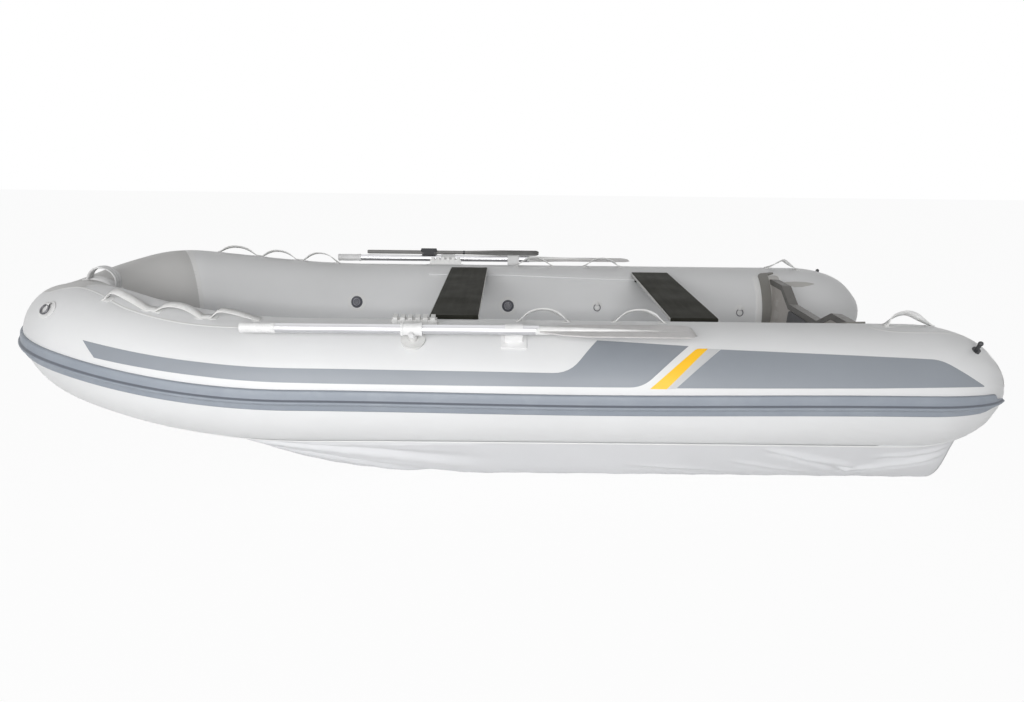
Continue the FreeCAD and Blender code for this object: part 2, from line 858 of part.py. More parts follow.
# A ribbed rest stands on the tube inboard of the shaft
rest = box(-rest_length / 2, rest_length / 2, -rest_width / 2, rest_width / 2, -8.0, rest_rise * 0.7)
rib_pitch = rest_length / rest_rib_count
for i in range(rest_rib_count):
    middle = -rest_length / 2 + rib_pitch * (i + 0.5)
    rest = rest.fuse(box(
        middle - rib_pitch * 0.3, middle + rib_pitch * 0.3,
        -rest_width / 2 - 3.0, rest_width / 2 + 3.0, -8.0, rest_rise,
    ))
rest = rest.fuse(box(
    -rest_length / 2 - 6.0, rest_length / 2 + 6.0, -rest_width, rest_width * 1.6, -12.0, 3.0
))
rest = moved_on_side(rest.cut(tube_in_place), oar_pin_x + rest_ahead, rest_angle)
port_base = port_base.fuse(rest).removeSplitter()
save("port_rowlock_base", port_base)
save("starboard_rowlock_base", mirrored(port_base))

# Rowlock: a collar round the shaft with a knob outboard and a pin below
collar_radius = shaft_radius + collar_wall
rowlock = Part.makeCylinder(
    collar_radius, collar_length, Vector(-collar_length / 2, 0, oar_height), Vector(1, 0, 0)
)
for end in (-1, 1):
    rowlock = rowlock.fuse(Part.makeCylinder(
        collar_radius + 2.5, 9.0,
        Vector(end * (collar_length / 2 - 4.5) - 4.5, 0, oar_height), Vector(1, 0, 0),
    ))
rowlock = rowlock.fuse(Part.makeCylinder(
    knob_radius, collar_radius + 9.0, Vector(0, 0, oar_height), Vector(0, 1, 0)
))
rowlock = rowlock.fuse(Part.makeCylinder(
    pin_radius, oar_height - shaft_radius - 2.0 - 5.0, Vector(0, 0, 5.0)
))
rowlock = rowlock.fuse(Part.makeCylinder(
    boss_radius - 3.0, oar_height - boss_height - 1.0 - shaft_radius - 1.0, Vector(0, 0, boss_height + 1.0)
))
shaft_bore = Part.makeCylinder(
    shaft_radius + 0.1, saddle_length, Vector(-saddle_length / 2, 0, oar_height), Vector(1, 0, 0)
)
rowlock = rowlock.cut(shaft_bore)
port_rowlock = moved_on_side(rowlock, oar_pin_x, oar_angle)
save("port_rowlock", port_rowlock)
save("starboard_rowlock", mirrored(port_rowlock))


# Oar: shaft, grip and ribbed blade in one line, along the tube when stowed
def along_oar(shape):
    return moved_on_side(shape, 0.0, oar_angle)


shaft = rod(
    Vector(blade_start_x, 0, oar_height), Vector(oar_grip_end_x - grip_length, 0, oar_height), shaft_radius
)
port_shaft = along_oar(shaft)
save("port_oar_shaft", port_shaft)
save("starboard_oar_shaft", mirrored(port_shaft))

grip = rod(
    Vector(oar_grip_end_x - grip_length, 0, oar_height), Vector(oar_grip_end_x, 0, oar_height), grip_radius
)
grip = grip.makeFillet(5.0, [edge for edge in grip.Edges if edge.BoundBox.XLength < 0.1])
port_grip = along_oar(grip)
save("port_oar_grip", port_grip)
save("starboard_oar_grip", mirrored(port_grip))

blade_half = blade_width / 2
blade_outline = [
    Vector(blade_start_x - 4.0, -shaft_radius, 0),
    Vector(blade_start_x - 90.0, -blade_half * 0.86, 0),
    Vector(blade_start_x - 170.0, -blade_half, 0),
    Vector(blade_end_x + 24.0, -blade_half, 0),
    Vector(blade_end_x, -blade_half + 22.0, 0),
    Vector(blade_end_x, blade_half - 22.0, 0),
    Vector(blade_end_x + 24.0, blade_half, 0),
    Vector(blade_start_x - 170.0, blade_half, 0),
    Vector(blade_start_x - 90.0, blade_half * 0.86, 0),
    Vector(blade_start_x - 4.0, shaft_radius, 0),
]
blade = plate(blade_outline, Vector(0, 0, blade_thickness))
blade.translate(Vector(0, 0, oar_height - blade_thickness / 2))
blade.rotate(Vector(0, 0, oar_height), Vector(1, 0, 0), blade_roll)
neck = Part.makeCone(
    shaft_radius, 6.0, blade_start_x - blade_end_x - 40.0,
    Vector(blade_start_x, 0, oar_height), Vector(-1, 0, 0),
)
blade = blade.fuse(neck)
port_blade = along_oar(blade)
save("port_oar_blade", port_blade)
save("starboard_oar_blade", mirrored(port_blade))

# Oar clip: a saddle with a hook that opens outboard, where the shaft leaves it
hook_inner = shaft_radius + clip_clearance
hook_outer = hook_inner + clip_wall
clip = Part.makeCylinder(hook_outer, clip_length, Vector(-clip_length / 2, 0, oar_height), Vector(1, 0, 0))
clip = clip.fuse(box(-clip_length / 2, clip_length / 2, -hook_outer, hook_outer * 0.4, -6.0, oar_height))
clip = clip.fuse(box(-clip_length / 2 - 14.0, clip_length / 2 + 14.0, -34.0, 34.0, -6.0, 6.0))
clip = clip.cut(Part.makeCylinder(hook_inner, 200.0, Vector(-100.0, 0, oar_height), Vector(1, 0, 0)))
clip = clip.cut(box(-100.0, 100.0, 0.0, 100.0, oar_height - hook_inner, oar_height + hook_inner))
clip = clip.cut(tube_in_place)
port_clip = moved_on_side(clip, clip_x, oar_angle)
save("port_oar_clip", port_clip)
save("starboard_oar_clip", mirrored(port_clip))

# Spare paddle above the starboard oar, held on it by a waisted clip
paddle_height = oar_height + collar_radius + 2.5 + paddle_radius + 1.5
paddle = rod(Vector(paddle_blade_x, 0, paddle_height), Vector(paddle_front_x, 0, paddle_height), paddle_radius)
paddle_half = paddle_blade_width / 2
paddle_blade = plate(
    [
        Vector(paddle_blade_x + 60.0, -paddle_radius * 0.8, 0),
        Vector(paddle_blade_x - 60.0, -paddle_half, 0),
        Vector(paddle_rear_x + 16.0, -paddle_half, 0),
        Vector(paddle_rear_x, -paddle_half + 14.0, 0),
        Vector(paddle_rear_x, paddle_half - 14.0, 0),
        Vector(paddle_rear_x + 16.0, paddle_half, 0),
        Vector(paddle_blade_x - 60.0, paddle_half, 0),
        Vector(paddle_blade_x + 60.0, paddle_radius * 0.8, 0),
    ],
    Vector(0, 0, 6.0),
)
paddle_blade.translate(Vector(0, 0, paddle_height - 3.0))
paddle = paddle.fuse(paddle_blade)
save("spare_paddle", mirrored(along_oar(paddle)))

paddle_clip_half = paddle_clip_length / 2
clip_waist_z = oar_height + shaft_radius + 4.0
clip_outline = [
    Vector(-paddle_clip_half * 0.8, 0, oar_height + shaft_radius * 0.6),
    Vector(paddle_clip_half * 0.8, 0, oar_height + shaft_radius * 0.6),
    Vector(paddle_clip_half * 0.55, 0, clip_waist_z),
    Vector(paddle_clip_half, 0, paddle_height),
    Vector(paddle_clip_half * 0.9, 0, paddle_height + paddle_radius + 3.5),
    Vector(-paddle_clip_half * 0.9, 0, paddle_height + paddle_radius + 3.5),
    Vector(-paddle_clip_half, 0, paddle_height),
    Vector(-paddle_clip_half * 0.55, 0, clip_waist_z),
]
paddle_clip = plate(clip_outline, Vector(0, 2 * (shaft_radius + 5.0), 0))
paddle_clip.translate(Vector(0, -shaft_radius - 5.0, 0))
paddle_clip = paddle_clip.cut(shaft_bore)
paddle_clip = paddle_clip.cut(Part.makeCylinder(
    paddle_radius + 0.1, 200.0, Vector(-100.0, 0, paddle_height), Vector(1, 0, 0)
))
paddle_clip = moved_on_side(paddle_clip, paddle_clip_x, oar_angle)
save("paddle_clip", mirrored(paddle_clip))


# Valves, eyes and tow rings
def standing_disc(radius, thickness):
    return Part.makeCylinder(radius, thickness + 12.0, Vector(0, 0, -12.0))


valve = standing_disc(valve_radius, valve_rise - 3.0)
valve = valve.fuse(Part.makeCylinder(valve_radius * 0.72, 5.0, Vector(0, 0, valve_rise - 4.0)))
port_valves = [
    clear_of_tubes(moved_on_bow(valve, fore_valve_share, fore_valve_angle)),
    clear_of_tubes(moved_on_side(valve, front_seat_x - aft_valve_back, aft_valve_angle)),
]
save("port_valves", port_valves)
save("starboard_valves", [mirrored(shape) for shape in port_valves])


# The ring hangs from a small patch, below it on the tube's inner side
def hanging_ring():
    height = patch_thickness + ring_wire + 1.0
    middle_y = 3.0 - eye_ring_radius
    ring = Part.makeTorus(eye_ring_radius, ring_wire, Vector(0, middle_y, height), Vector(0, 0, 1))
    tunnel = Part.makeTorus(eye_ring_radius, ring_wire + 0.2, Vector(0, middle_y, height), Vector(0, 0, 1))
    holder = standing_disc(eye_patch_radius, patch_thickness).fuse(box(
        -eye_ring_radius * 0.5, eye_ring_radius * 0.5, -7.0, 13.0, patch_thickness - 2.0, height + ring_wire + 2.0
    ))
    return [holder.cut(tunnel).cut(tube_in_place), ring]


eyes = []
for x, angle in (
    (rear_seat_x + fore_eye_ahead, fore_eye_angle), (rear_seat_x - aft_eye_behind, aft_eye_angle),
):
    for piece in hanging_ring():
        eyes.append(moved_on_side(piece, x, angle))
save("port_inner_eyes", eyes)
save("starboard_inner_eyes", [mirrored(shape) for shape in eyes])

tow_patch = standing_disc(tow_patch_radius, patch_thickness)
tow_patch = clear_of_tubes(moved_on_bow(tow_patch, tow_ring_share, tow_ring_angle))
tow_height = patch_thickness + tow_ring_wire + 1.5
tow_ring = Part.makeTorus(tow_ring_radius, tow_ring_wire, Vector(0, 4.0, tow_height), Vector(0, 0, 1))
tow_strap = box(
    -tow_ring_radius * 0.6, tow_ring_radius * 0.6,
    -tow_ring_radius - 12.0, -tow_ring_radius + 14.0,
    patch_thickness - 1.0, tow_height + tow_ring_wire + 2.0,
)
tow_strap = tow_strap.cut(Part.makeTorus(
    tow_ring_radius, tow_ring_wire + 0.2, Vector(0, 4.0, tow_height), Vector(0, 0, 1)
))
port_tow = [
    tow_patch.fuse(moved_on_bow(tow_strap, tow_ring_share, tow_ring_angle)),
    moved_on_bow(tow_ring, tow_ring_share, tow_ring_angle),
]
save("port_tow_ring", port_tow)
save("starboard_tow_ring", [mirrored(shape) for shape in port_tow])


# Grab straps: webbing arches between pads, three along the side and three round the bow
def strap_arch(span, rise):
    radius = (span * span / 4 + rise * rise) / (2 * rise)
    centre_z = rise - radius
    outer = Part.makeCylinder(radius, strap_width, Vector(0, strap_width / 2, centre_z), Vector(0, -1, 0))
    inner = Part.makeCylinder(
        radius - strap_thickness, strap_width + 2.0,
        Vector(0, strap_width / 2 + 1.0, centre_z), Vector(0, -1, 0),
    )
    arch = outer.cut(inner)
    return arch.common(box(-span, span, -strap_width, strap_width, 1.0, rise + 10.0))


def strap_with_pads():
    arch = strap_arch(strap_span, strap_rise)
    for end in (-1, 1):
        middle = end * (strap_span / 2 - 4.0)
        pad = box(
            middle - strap_pad_length / 2, middle + strap_pad_length / 2,
            -strap_pad_width / 2, strap_pad_width / 2, -12.0, patch_thickness,
        )
        arch = arch.fuse(pad)
    return arch


straps = []
for x in strap_places:
    straps.append(clear_of_tubes(moved_on_side(strap_with_pads(), x, strap_angle)))
for share, angle in bow_straps:
    straps.append(clear_of_tubes(moved_on_bow(strap_with_pads(), share, angle)))
save("port_grab_straps", straps)
save("starboard_grab_straps", [mirrored(shape) for shape in straps])

# Carrying handle: a wide arch fore and aft over the bow tube at the stem, made along x first
handle_radius = (handle_length ** 2 / 4 + handle_rise ** 2) / (2 * handle_rise)
handle_centre_z = handle_rise - handle_radius
handle = Part.makeCylinder(
    handle_radius, handle_width, Vector(0, handle_width / 2, handle_centre_z), Vector(0, -1, 0)
)
handle = handle.cut(Part.makeCylinder(
    handle_radius - handle_thickness, handle_width + 2.0,
    Vector(0, handle_width / 2 + 1.0, handle_centre_z), Vector(0, -1, 0),
))
handle = handle.common(box(-handle_length, handle_length, -handle_width, handle_width, -22.0, 100.0))
for end in (-1, 1):
    foot = end * handle_length / 2
    handle = handle.fuse(box(foot - 14.0, foot + 14.0, -handle_width / 2, handle_width / 2, -26.0, -9.0))
handle.rotate(Vector(0, 0, 0), Vector(0, 0, 1), 90)
handle = clear_of_tubes(moved_on_bow(handle, 1.0, handle_angle))
handle = max(handle.Solids, key=lambda solid: solid.Volume)
save("bow_handle", handle)

# Small upright pins on the stern cones, on a domed foot that follows the cone
pin = Part.makeCylinder(pin_foot_radius, 60.0, Vector(0, 0, -56.0))
pin = pin.fuse(Part.makeCylinder(cleat_radius, cleat_height, Vector(0, 0, 0)))
pin = pin.fuse(Part.makeSphere(cleat_radius + 2.5, Vector(0, 0, cleat_height)))
port_pin = Part.makeCompound([pin])
port_pin.translate(Vector(cleat_x, 0, cleat_radius_at))
port_pin.rotate(Vector(0, 0, 0), Vector(1, 0, 0), cleat_angle - 90.0)
port_pin.translate(Vector(0, tube_half_spacing, tube_axis_height))
port_pin = port_pin.Solids[0].cut(clear_cone)
port_pin = max(port_pin.Solids, key=lambda solid: solid.BoundBox.ZMax)
save("port_stern_pin", port_pin)
save("starboard_stern_pin", mirrored(port_pin))
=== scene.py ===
import bisect
import math
import bpy
import bmesh
from mathutils import Matrix, Vector


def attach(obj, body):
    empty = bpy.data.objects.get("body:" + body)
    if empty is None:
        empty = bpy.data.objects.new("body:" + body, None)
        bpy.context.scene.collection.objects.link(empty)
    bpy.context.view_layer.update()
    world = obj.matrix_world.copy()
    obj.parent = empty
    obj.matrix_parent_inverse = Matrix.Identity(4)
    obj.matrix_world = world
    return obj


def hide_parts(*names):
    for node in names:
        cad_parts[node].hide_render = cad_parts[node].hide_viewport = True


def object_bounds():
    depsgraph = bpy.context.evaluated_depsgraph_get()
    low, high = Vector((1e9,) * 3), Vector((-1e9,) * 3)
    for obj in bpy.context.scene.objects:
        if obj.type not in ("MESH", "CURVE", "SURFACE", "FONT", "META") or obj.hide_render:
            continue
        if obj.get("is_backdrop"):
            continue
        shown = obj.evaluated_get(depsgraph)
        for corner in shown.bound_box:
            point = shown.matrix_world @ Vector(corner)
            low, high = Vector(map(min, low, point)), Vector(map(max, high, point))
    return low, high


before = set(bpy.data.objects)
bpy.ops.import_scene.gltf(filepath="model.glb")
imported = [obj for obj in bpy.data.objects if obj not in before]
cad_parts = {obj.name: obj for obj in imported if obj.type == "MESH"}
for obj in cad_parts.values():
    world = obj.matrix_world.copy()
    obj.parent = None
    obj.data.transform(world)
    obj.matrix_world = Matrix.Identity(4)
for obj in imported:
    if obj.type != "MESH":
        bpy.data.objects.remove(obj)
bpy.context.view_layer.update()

# Hull line and main heights, in metres; angles in radians
TUBE_R = 0.235
STEM_R = 0.161
HALF = 0.625
AXIS_Z = 0.413
STRAIGHT_X = 0.672
STEM_X = 1.788
SIDE_PULL = 0.721
FRONT_PULL = 0.424
BOW_RISE = 0.101
RISE_END = 0.655
JOINT = 0.48
SEAM_AT = 1.56
CREASE_DEPTH, CREASE_REACH = 0.009, 0.11
SWELL_HEIGHT, SWELL_START, SWELL_RUN = 0.010, 1.68, 0.25
CONE_X = -1.6
CONE_LENGTH = 0.375
TIP_X = -1.975
TUBE_LOW = AXIS_Z - TUBE_R
BOTTOM_TOP = 0.251
OAR_ANGLE = math.radians(56.0)
BLADE_ROLL = math.radians(31.5)
OAR_HEIGHT = 0.060
PADDLE_HEIGHT = 0.096
RAKE = math.radians(4.0)
DEGREE = TUBE_R * math.pi / 180.0
ROUND = 72
SIDES = ((1, "port"), (-1, "starboard"))
PORT = Vector((0, 1, 0))

# Fittings on the skin: (length, degrees)
VALVES = ((0.680, 160.7), (-0.093, 163.8))
EYES = ((-0.549, 161.5), (-1.279, 165.9))
TOW = (1.594, 43.0)
HANDLE_ANGLE = 109.0

# Studio
FLOOR_SIZE = 14.0
FLOOR_GLOW = 0.95
SKY_LEVEL = 0.19
CAMERA_PLACE = Vector((-0.106, 3.376, 0.912 + AXIS_Z))
PITCH, YAW, ROLL = 0.2801, -0.0028, 0.0109
FOCAL_PIXELS, PHOTO_WIDTH, SENSOR = 755.0, 1024.0, 36.0


# ---------- materials ----------
class Value:
    """A socket in a node tree, with plain arithmetic."""

    def __init__(self, tree, socket):
        self.tree = tree
        self.socket = socket

    def __add__(self, other):
        return self.tree.math("ADD", self, other)

    def __sub__(self, other):
        return self.tree.math("SUBTRACT", self, other)

    def __mul__(self, other):
        return self.tree.math("MULTIPLY", self, other)

    def __truediv__(self, other):
        return self.tree.math("DIVIDE", self, other)


class Tree:
    """A node tree of a material or of the sky."""

    def __init__(self, tree):
        self.tree = tree

    def node(self, kind, inputs=None, **settings):
        node = self.tree.nodes.new(kind)
        for key, value in settings.items():
            setattr(node, key, value)
        for key, value in (inputs or {}).items():
            if isinstance(value, Value):
                self.tree.links.new(value.socket, node.inputs[key])
            else:
                node.inputs[key].default_value = value
        return node

    def math(self, operation, *values):
        node = self.node("ShaderNodeMath", dict(enumerate(values)), operation=operation)
        return Value(self, node.outputs[0])

    def seen(self):
        """One for camera, glossy and transmitted rays, and nothing for the others."""
        path = self.node("ShaderNodeLightPath").outputs
        camera_ray, glossy, through = (
            Value(self, path[kind]) for kind in ("Is Camera Ray", "Is Glossy Ray", "Is Transmission Ray")
        )
        return self.math("MAXIMUM", self.math("MAXIMUM", camera_ray, glossy), through)


class Look(Tree):
    """One material: a Principled shader and the nodes that feed it."""

    def __init__(self, name, color, rough, metal=0.0, coat=0.0, sheen=0.0):
        self.material = bpy.data.materials.new(name)
        self.material.use_nodes = True
        super().__init__(self.material.node_tree)
        self.shader = self.tree.nodes["Principled BSDF"]
        self.color = color
        self.normal = None
        settings = {
            "Base Color": (*color, 1), "Roughness": rough, "Metallic": metal, "Coat Weight": coat,
            "Coat Roughness": 0.25, "Sheen Weight": sheen,
        }
        for key, value in settings.items():
            self.shader.inputs[key].default_value = value

    def place(self):
        return Value(self, self.node("ShaderNodeTexCoord").outputs["Object"])

    def split(self, vector):
        return [Value(self, out) for out in self.node("ShaderNodeSeparateXYZ", {0: vector}).outputs]

    def uv(self):
        """Length along the piece and girth round it, in metres."""
        return self.split(Value(self, self.node("ShaderNodeUVMap", uv_map="hull").outputs[0]))[:2]

    def noise(self, scale, detail=3.0, rough=0.5, stretch=(1, 1, 1)):
        mapped = self.node("ShaderNodeMapping", {"Vector": self.place(), "Scale": stretch})
        where = Value(self, mapped.outputs[0])
        inputs = {"Vector": where, "Scale": scale, "Detail": detail, "Roughness": rough}
        return Value(self, self.node("ShaderNodeTexNoise", inputs).outputs[0])

    def ramp(self, value, low, high, out_low=0.0, out_high=1.0):
        inputs = {"Value": value, "From Min": low, "From Max": high, "To Min": out_low, "To Max": out_high}
        return Value(self, self.node("ShaderNodeMapRange", inputs, clamp=True).outputs[0])

    def wave(self, value, pitch):
        return self.math("SINE", value * (2 * math.pi / pitch))

    def tint(self, factor, color):
        """Mixes what the base colour has so far towards another colour."""
        slot = self.shader.inputs["Base Color"]
        so_far = Value(self, slot.links[0].from_socket) if slot.is_linked else (*self.color, 1)
        node = self.node("ShaderNodeMix", {0: factor}, data_type="RGBA")
        for key, value in ((6, so_far), (7, (*color, 1))):
            if isinstance(value, Value):
                self.tree.links.new(value.socket, node.inputs[key])
            else:
                node.inputs[key].default_value = value
        self.tree.links.new(node.outputs[2], slot)

    def dull(self, value):
        self.tree.links.new(value.socket, self.shader.inputs["Roughness"])

    def bump(self, height, distance, strength=1.0):
        inputs = {"Height": height, "Distance": distance, "Strength": strength}
        if self.normal is not None:
            inputs["Normal"] = self.normal
        self.normal = Value(self, self.node("ShaderNodeBump", inputs).outputs[0])
        self.tree.links.new(self.normal.socket, self.shader.inputs["Normal"])


def shaded(color, share):
    return tuple(c * share for c in color)


def coated_fabric(name, color, rough=0.42, shade=0.95, soft=0.35):
    """Coated cloth: cloudy tint, fine grain, shallow unevenness and a hint of the weave."""
    look = Look(name, color, rough, coat=0.12, sheen=0.05)
    cloud = look.noise(2.2, 4.0, 0.55)
    look.tint(look.ramp(cloud, 0.35, 0.75), shaded(color, shade))
    grain = look.noise(420.0, 2.0)
    look.dull(look.ramp(cloud + grain * 0.3, 0.4, 0.9, rough - 0.05, rough + 0.08))
    look.bump(look.noise(5.0, 2.0), 0.004, soft)
    look.bump(grain, 0.0003, 0.25)
    along, around = look.uv()
    thread = 0.0022
    look.bump(look.wave(along, thread) * look.wave(around, thread), 0.00015, 0.5)
    return look


def plastic(name, color, rough=0.35, grain=300.0, depth=0.0002):
    look = Look(name, color, rough, coat=0.1)
    look.tint(look.ramp(look.noise(25.0, 3.0), 0.4, 0.75), shaded(color, 0.9))
    look.dull(look.ramp(look.noise(80.0, 2.0), 0.3, 0.7, rough - 0.06, rough + 0.1))
    look.bump(look.noise(grain, 2.0), depth, 0.5)
    return look


def metal_look(name, color, rough, stretch=(0.04, 1, 1)):
    look = Look(name, color, rough, metal=1.0)
    lines = look.noise(90.0, 3.0, stretch=stretch)
    look.dull(look.ramp(lines, 0.3, 0.7, rough - 0.07, rough + 0.1))
    look.tint(look.ramp(look.noise(5.0, 3.0), 0.4, 0.8), shaded(color, 0.88))
    look.bump(lines, 0.0002, 0.35)
    return look


# Tube cloth, with the faint welded laps of its panels square to the tube's length
skin = coated_fabric("tube_fabric", (0.76, 0.765, 0.77))
PANEL_PITCH, PANEL_START, PANEL_LAP = 1.30, 0.24, 0.018
panel = (skin.uv()[0] - PANEL_START) / PANEL_PITCH
lap_off = skin.math("ABSOLUTE", skin.math("FRACT", panel) - 0.5) * PANEL_PITCH
skin.bump(skin.ramp(lap_off, 0.0, PANEL_LAP, 1.0, 0.0), 0.0005, 0.5)

hull_cloth = coated_fabric("bottom_fabric", (0.70, 0.705, 0.72), 0.5, 0.96)
# A darker copy of the tube cloth: painted shade for the bow tube's inner side
bow_shade_cloth = coated_fabric("bow_painted_shade_fabric", (0.60, 0.595, 0.585), 0.5, 0.96)
tape = coated_fabric("seam_tape", (0.79, 0.79, 0.785))
flange = coated_fabric("flange_fabric", (0.20, 0.195, 0.18), 0.5)
patch_cloth = coated_fabric("patch_fabric", (0.50, 0.49, 0.47), 0.45)
stripe = coated_fabric("stripe_grey", (0.265, 0.288, 0.32), 0.4, 0.92, 0.2)
stripe_light = coated_fabric("stripe_light", (0.56, 0.565, 0.57), 0.4)
stripe_yellow = coated_fabric("stripe_yellow", (0.98, 0.55, 0.018), 0.4, 0.97)

white_plastic = plastic("white_plastic", (0.80, 0.80, 0.80))
pale_plastic = plastic("pale_plastic", (0.70, 0.70, 0.69), 0.42)
plate_plastic = plastic("plate_grey", (0.52, 0.50, 0.475), 0.45)
dark_plastic = plastic("dark_plastic", (0.035, 0.036, 0.04), 0.4)
valve_plastic = plastic("valve_plastic", (0.070, 0.072, 0.088), 0.38)
valve_ring = plastic("valve_ring", (0.30, 0.30, 0.34))
blade_plastic = plastic("blade_plastic", (0.66, 0.645, 0.64), 0.42)
rib_plastic = plastic("blade_rib", (0.90, 0.90, 0.89))
paddle_plastic = plastic("paddle_grey", (0.20, 0.195, 0.19), 0.45)
transom_panel = plastic("transom_panel", (0.47, 0.445, 0.42), 0.4, 90.0, 0.0003)
trim_plastic = plastic("trim_grey", (0.125, 0.12, 0.112), 0.5)
edge_metal = plastic("seat_edging", (0.52, 0.52, 0.50))

aluminium = metal_look("aluminium", (0.66, 0.66, 0.68), 0.34)
deck_metal = metal_look("deck_aluminium", (0.72, 0.73, 0.74), 0.42)
tread = deck_metal.wave(deck_metal.split(deck_metal.place())[1], 0.018)
deck_metal.bump(deck_metal.math("ABSOLUTE", tread), 0.0010, 0.5)
steel = metal_look("ring_steel", (0.62, 0.62, 0.62), 0.24, (1, 1, 1))
dull_steel = metal_look("ring_dull_steel", (0.16, 0.16, 0.17), 0.45, (1, 1, 1))

# Moulded strip, with painted shade: a dark line under the ridge's shoulder
rubber = Look("strake_rubber", (0.27, 0.30, 0.345), 0.5)
girth_at = rubber.uv()[1]
rubber.tint(rubber.ramp(rubber.noise(9.0, 4.0), 0.45, 0.7), (0.30, 0.33, 0.375))
# Painted shade: a narrow band on the ridge's upper shoulder is tinted dark, standing in for the shade that
# falls there
shoulder_shade = rubber.ramp(rubber.math("ABSOLUTE", girth_at - 0.0020), 0.0012, 0.0034, 1.0, 0.0)
rubber.tint(shoulder_shade * 0.75, (0.115, 0.125, 0.15))
rubber.dull(rubber.ramp(rubber.noise(60.0, 2.0), 0.3, 0.7, 0.42, 0.58))
rubber.bump(rubber.wave(girth_at, 0.0030), 0.0002, 0.12)
rubber.bump(rubber.noise(30.0, 2.0, stretch=(0.3, 1, 1)), 0.001, 0.3)

pad = Look("motor_pad", (0.085, 0.086, 0.09), 0.55)
pad.bump(pad.wave(pad.split(pad.place())[2], 0.006), 0.0008, 0.8)
pad.bump(pad.noise(250.0, 2.0), 0.0002, 0.4)
pad.tint(pad.ramp(pad.noise(18.0, 3.0), 0.5, 0.8), (0.13, 0.13, 0.135))

seat_top = Look("seat_dark", (0.020, 0.020, 0.0155), 0.7)
seat_top.shader.inputs["Specular IOR Level"].default_value = 0.10
seat_grain = seat_top.noise(40.0, 4.0, stretch=(1, 0.08, 1))
seat_top.tint(seat_top.ramp(seat_grain, 0.4, 0.7), (0.030, 0.0295, 0.024))
seat_top.bump(seat_top.noise(700.0, 2.0), 0.0004, 0.7)
seat_top.bump(seat_grain, 0.0004, 0.4)
seat_top.dull(seat_top.ramp(seat_top.noise(6.0, 3.0), 0.3, 0.7, 0.62, 0.8))

webbing = Look("webbing", (0.93, 0.93, 0.92), 0.6, sheen=0.2)
web_along, web_across = webbing.uv()
twill = webbing.wave(web_along + web_across, 0.003) * webbing.wave(web_along - web_across, 0.003)
webbing.bump(twill, 0.0005, 0.7)
web_border = webbing.ramp(webbing.math("ABSOLUTE", web_across), 0.0115, 0.0130)
webbing.tint(web_border * 0.3, (0.70, 0.70, 0.69))
webbing.tint(webbing.ramp(webbing.noise(60.0, 2.0), 0.4, 0.7) * 0.5, (0.80, 0.80, 0.78))


# ---------- the hull's line ----------
def eased(step):
    step = min(max(step, 0.0), 1.0)
    return step * step * (3 - 2 * step)


def ridge(value, width):
    return math.exp(-(value / width) ** 2)


def between(knots, x):
    """A value read off a list of (place, value) knots."""
    for (x0, v0), (x1, v1) in zip(knots, knots[1:]):
        if min(x0, x1) <= x <= max(x0, x1):
            return v0 + (v1 - v0) * (x - x0) / (x1 - x0)
    return knots[-1][1]


def hermite(p0, p1, m0, m1, t):
    return (
        p0 * (2 * t ** 3 - 3 * t * t + 1) + m0 * (t ** 3 - 2 * t * t + t)
        + p1 * (-2 * t ** 3 + 3 * t * t) + m1 * (t ** 3 - t * t)
    )


def smooth_path(points, counts):
    """Points of a soft line through the given ones; counts is one number or one for each stretch."""
    if isinstance(counts, int):
        counts = [counts] * (len(points) - 1)
    points = [Vector(p) for p in points]
    out = []
    for i, count in enumerate(counts):
        m0 = (points[i + 1] - points[max(i - 1, 0)]) * 0.5
        m1 = (points[min(i + 2, len(points) - 1)] - points[i]) * 0.5
        out += [hermite(points[i], points[i + 1], m0, m1, j / count) for j in range(count)]
    return out + [points[-1]]


def stations(first, *stretches):
    """Places from first on, evenly spaced over each rising stretch of (last, step)."""
    out = []
    for last, step in stretches:
        count = max(2, round((last - first) / step))
        out += [first + (last - first) * i / count for i in range(count)]
        first = last
    return out + [first]


def turns(count):
    return [2 * math.pi * i / count for i in range(count)]


def bow_point(t):
    corners = ((STRAIGHT_X, HALF), (STRAIGHT_X + SIDE_PULL, HALF), (STEM_X, FRONT_PULL), (STEM_X, 0.0))
    weights = ((1 - t) ** 3, 3 * (1 - t) ** 2 * t, 3 * (1 - t) * t * t, t ** 3)
    x, y = (sum(w * c[i] for w, c in zip(weights, corners)) for i in (0, 1))
    return Vector((x, y, AXIS_Z + BOW_RISE * eased(t / RISE_END)))


def bow_radius(share):
    return TUBE_R - (TUBE_R - STEM_R) * eased((share - JOINT) / (1 - JOINT))


SHARES = 240
bow_length = [0.0]
for i in range(SHARES):
    stretch = bow_point((i + 1) / SHARES) - bow_point(i / SHARES)
    bow_length.append(bow_length[-1] + stretch.xy.length)
STEM = STRAIGHT_X + bow_length[-1]
JOINT_AT = STRAIGHT_X + bow_length[round(JOINT * SHARES)]


def share_at(along):
    run = along - STRAIGHT_X
    low = min(bisect.bisect_right(bow_length, run) - 1, SHARES - 1)
    return (low + (run - bow_length[low]) / (bow_length[low + 1] - bow_length[low])) / SHARES


def cone_profile(count):
    """Points (x, radius) from the cone's base to its tip, through the solids' four knots."""
    knots = [Vector(k) for k in (
        (CONE_X, TUBE_R), (CONE_X - CONE_LENGTH * 0.50, 0.208),
        (CONE_X - CONE_LENGTH * 0.82, 0.136), (TIP_X, 0.020),
    )]
    slopes = [(knots[i + 1] - knots[i - 1]) * 0.55 for i in (1, 2)]
    slopes = [Vector((-0.23, 0.0))] + slopes + [Vector((-0.012, -0.15))]
    points = []
    for i in range(3):
        for j in range(count):
            points.append(hermite(knots[i], knots[i + 1], slopes[i], slopes[i + 1], j / count))
    return points + [knots[3]]


cone_points = cone_profile(12)


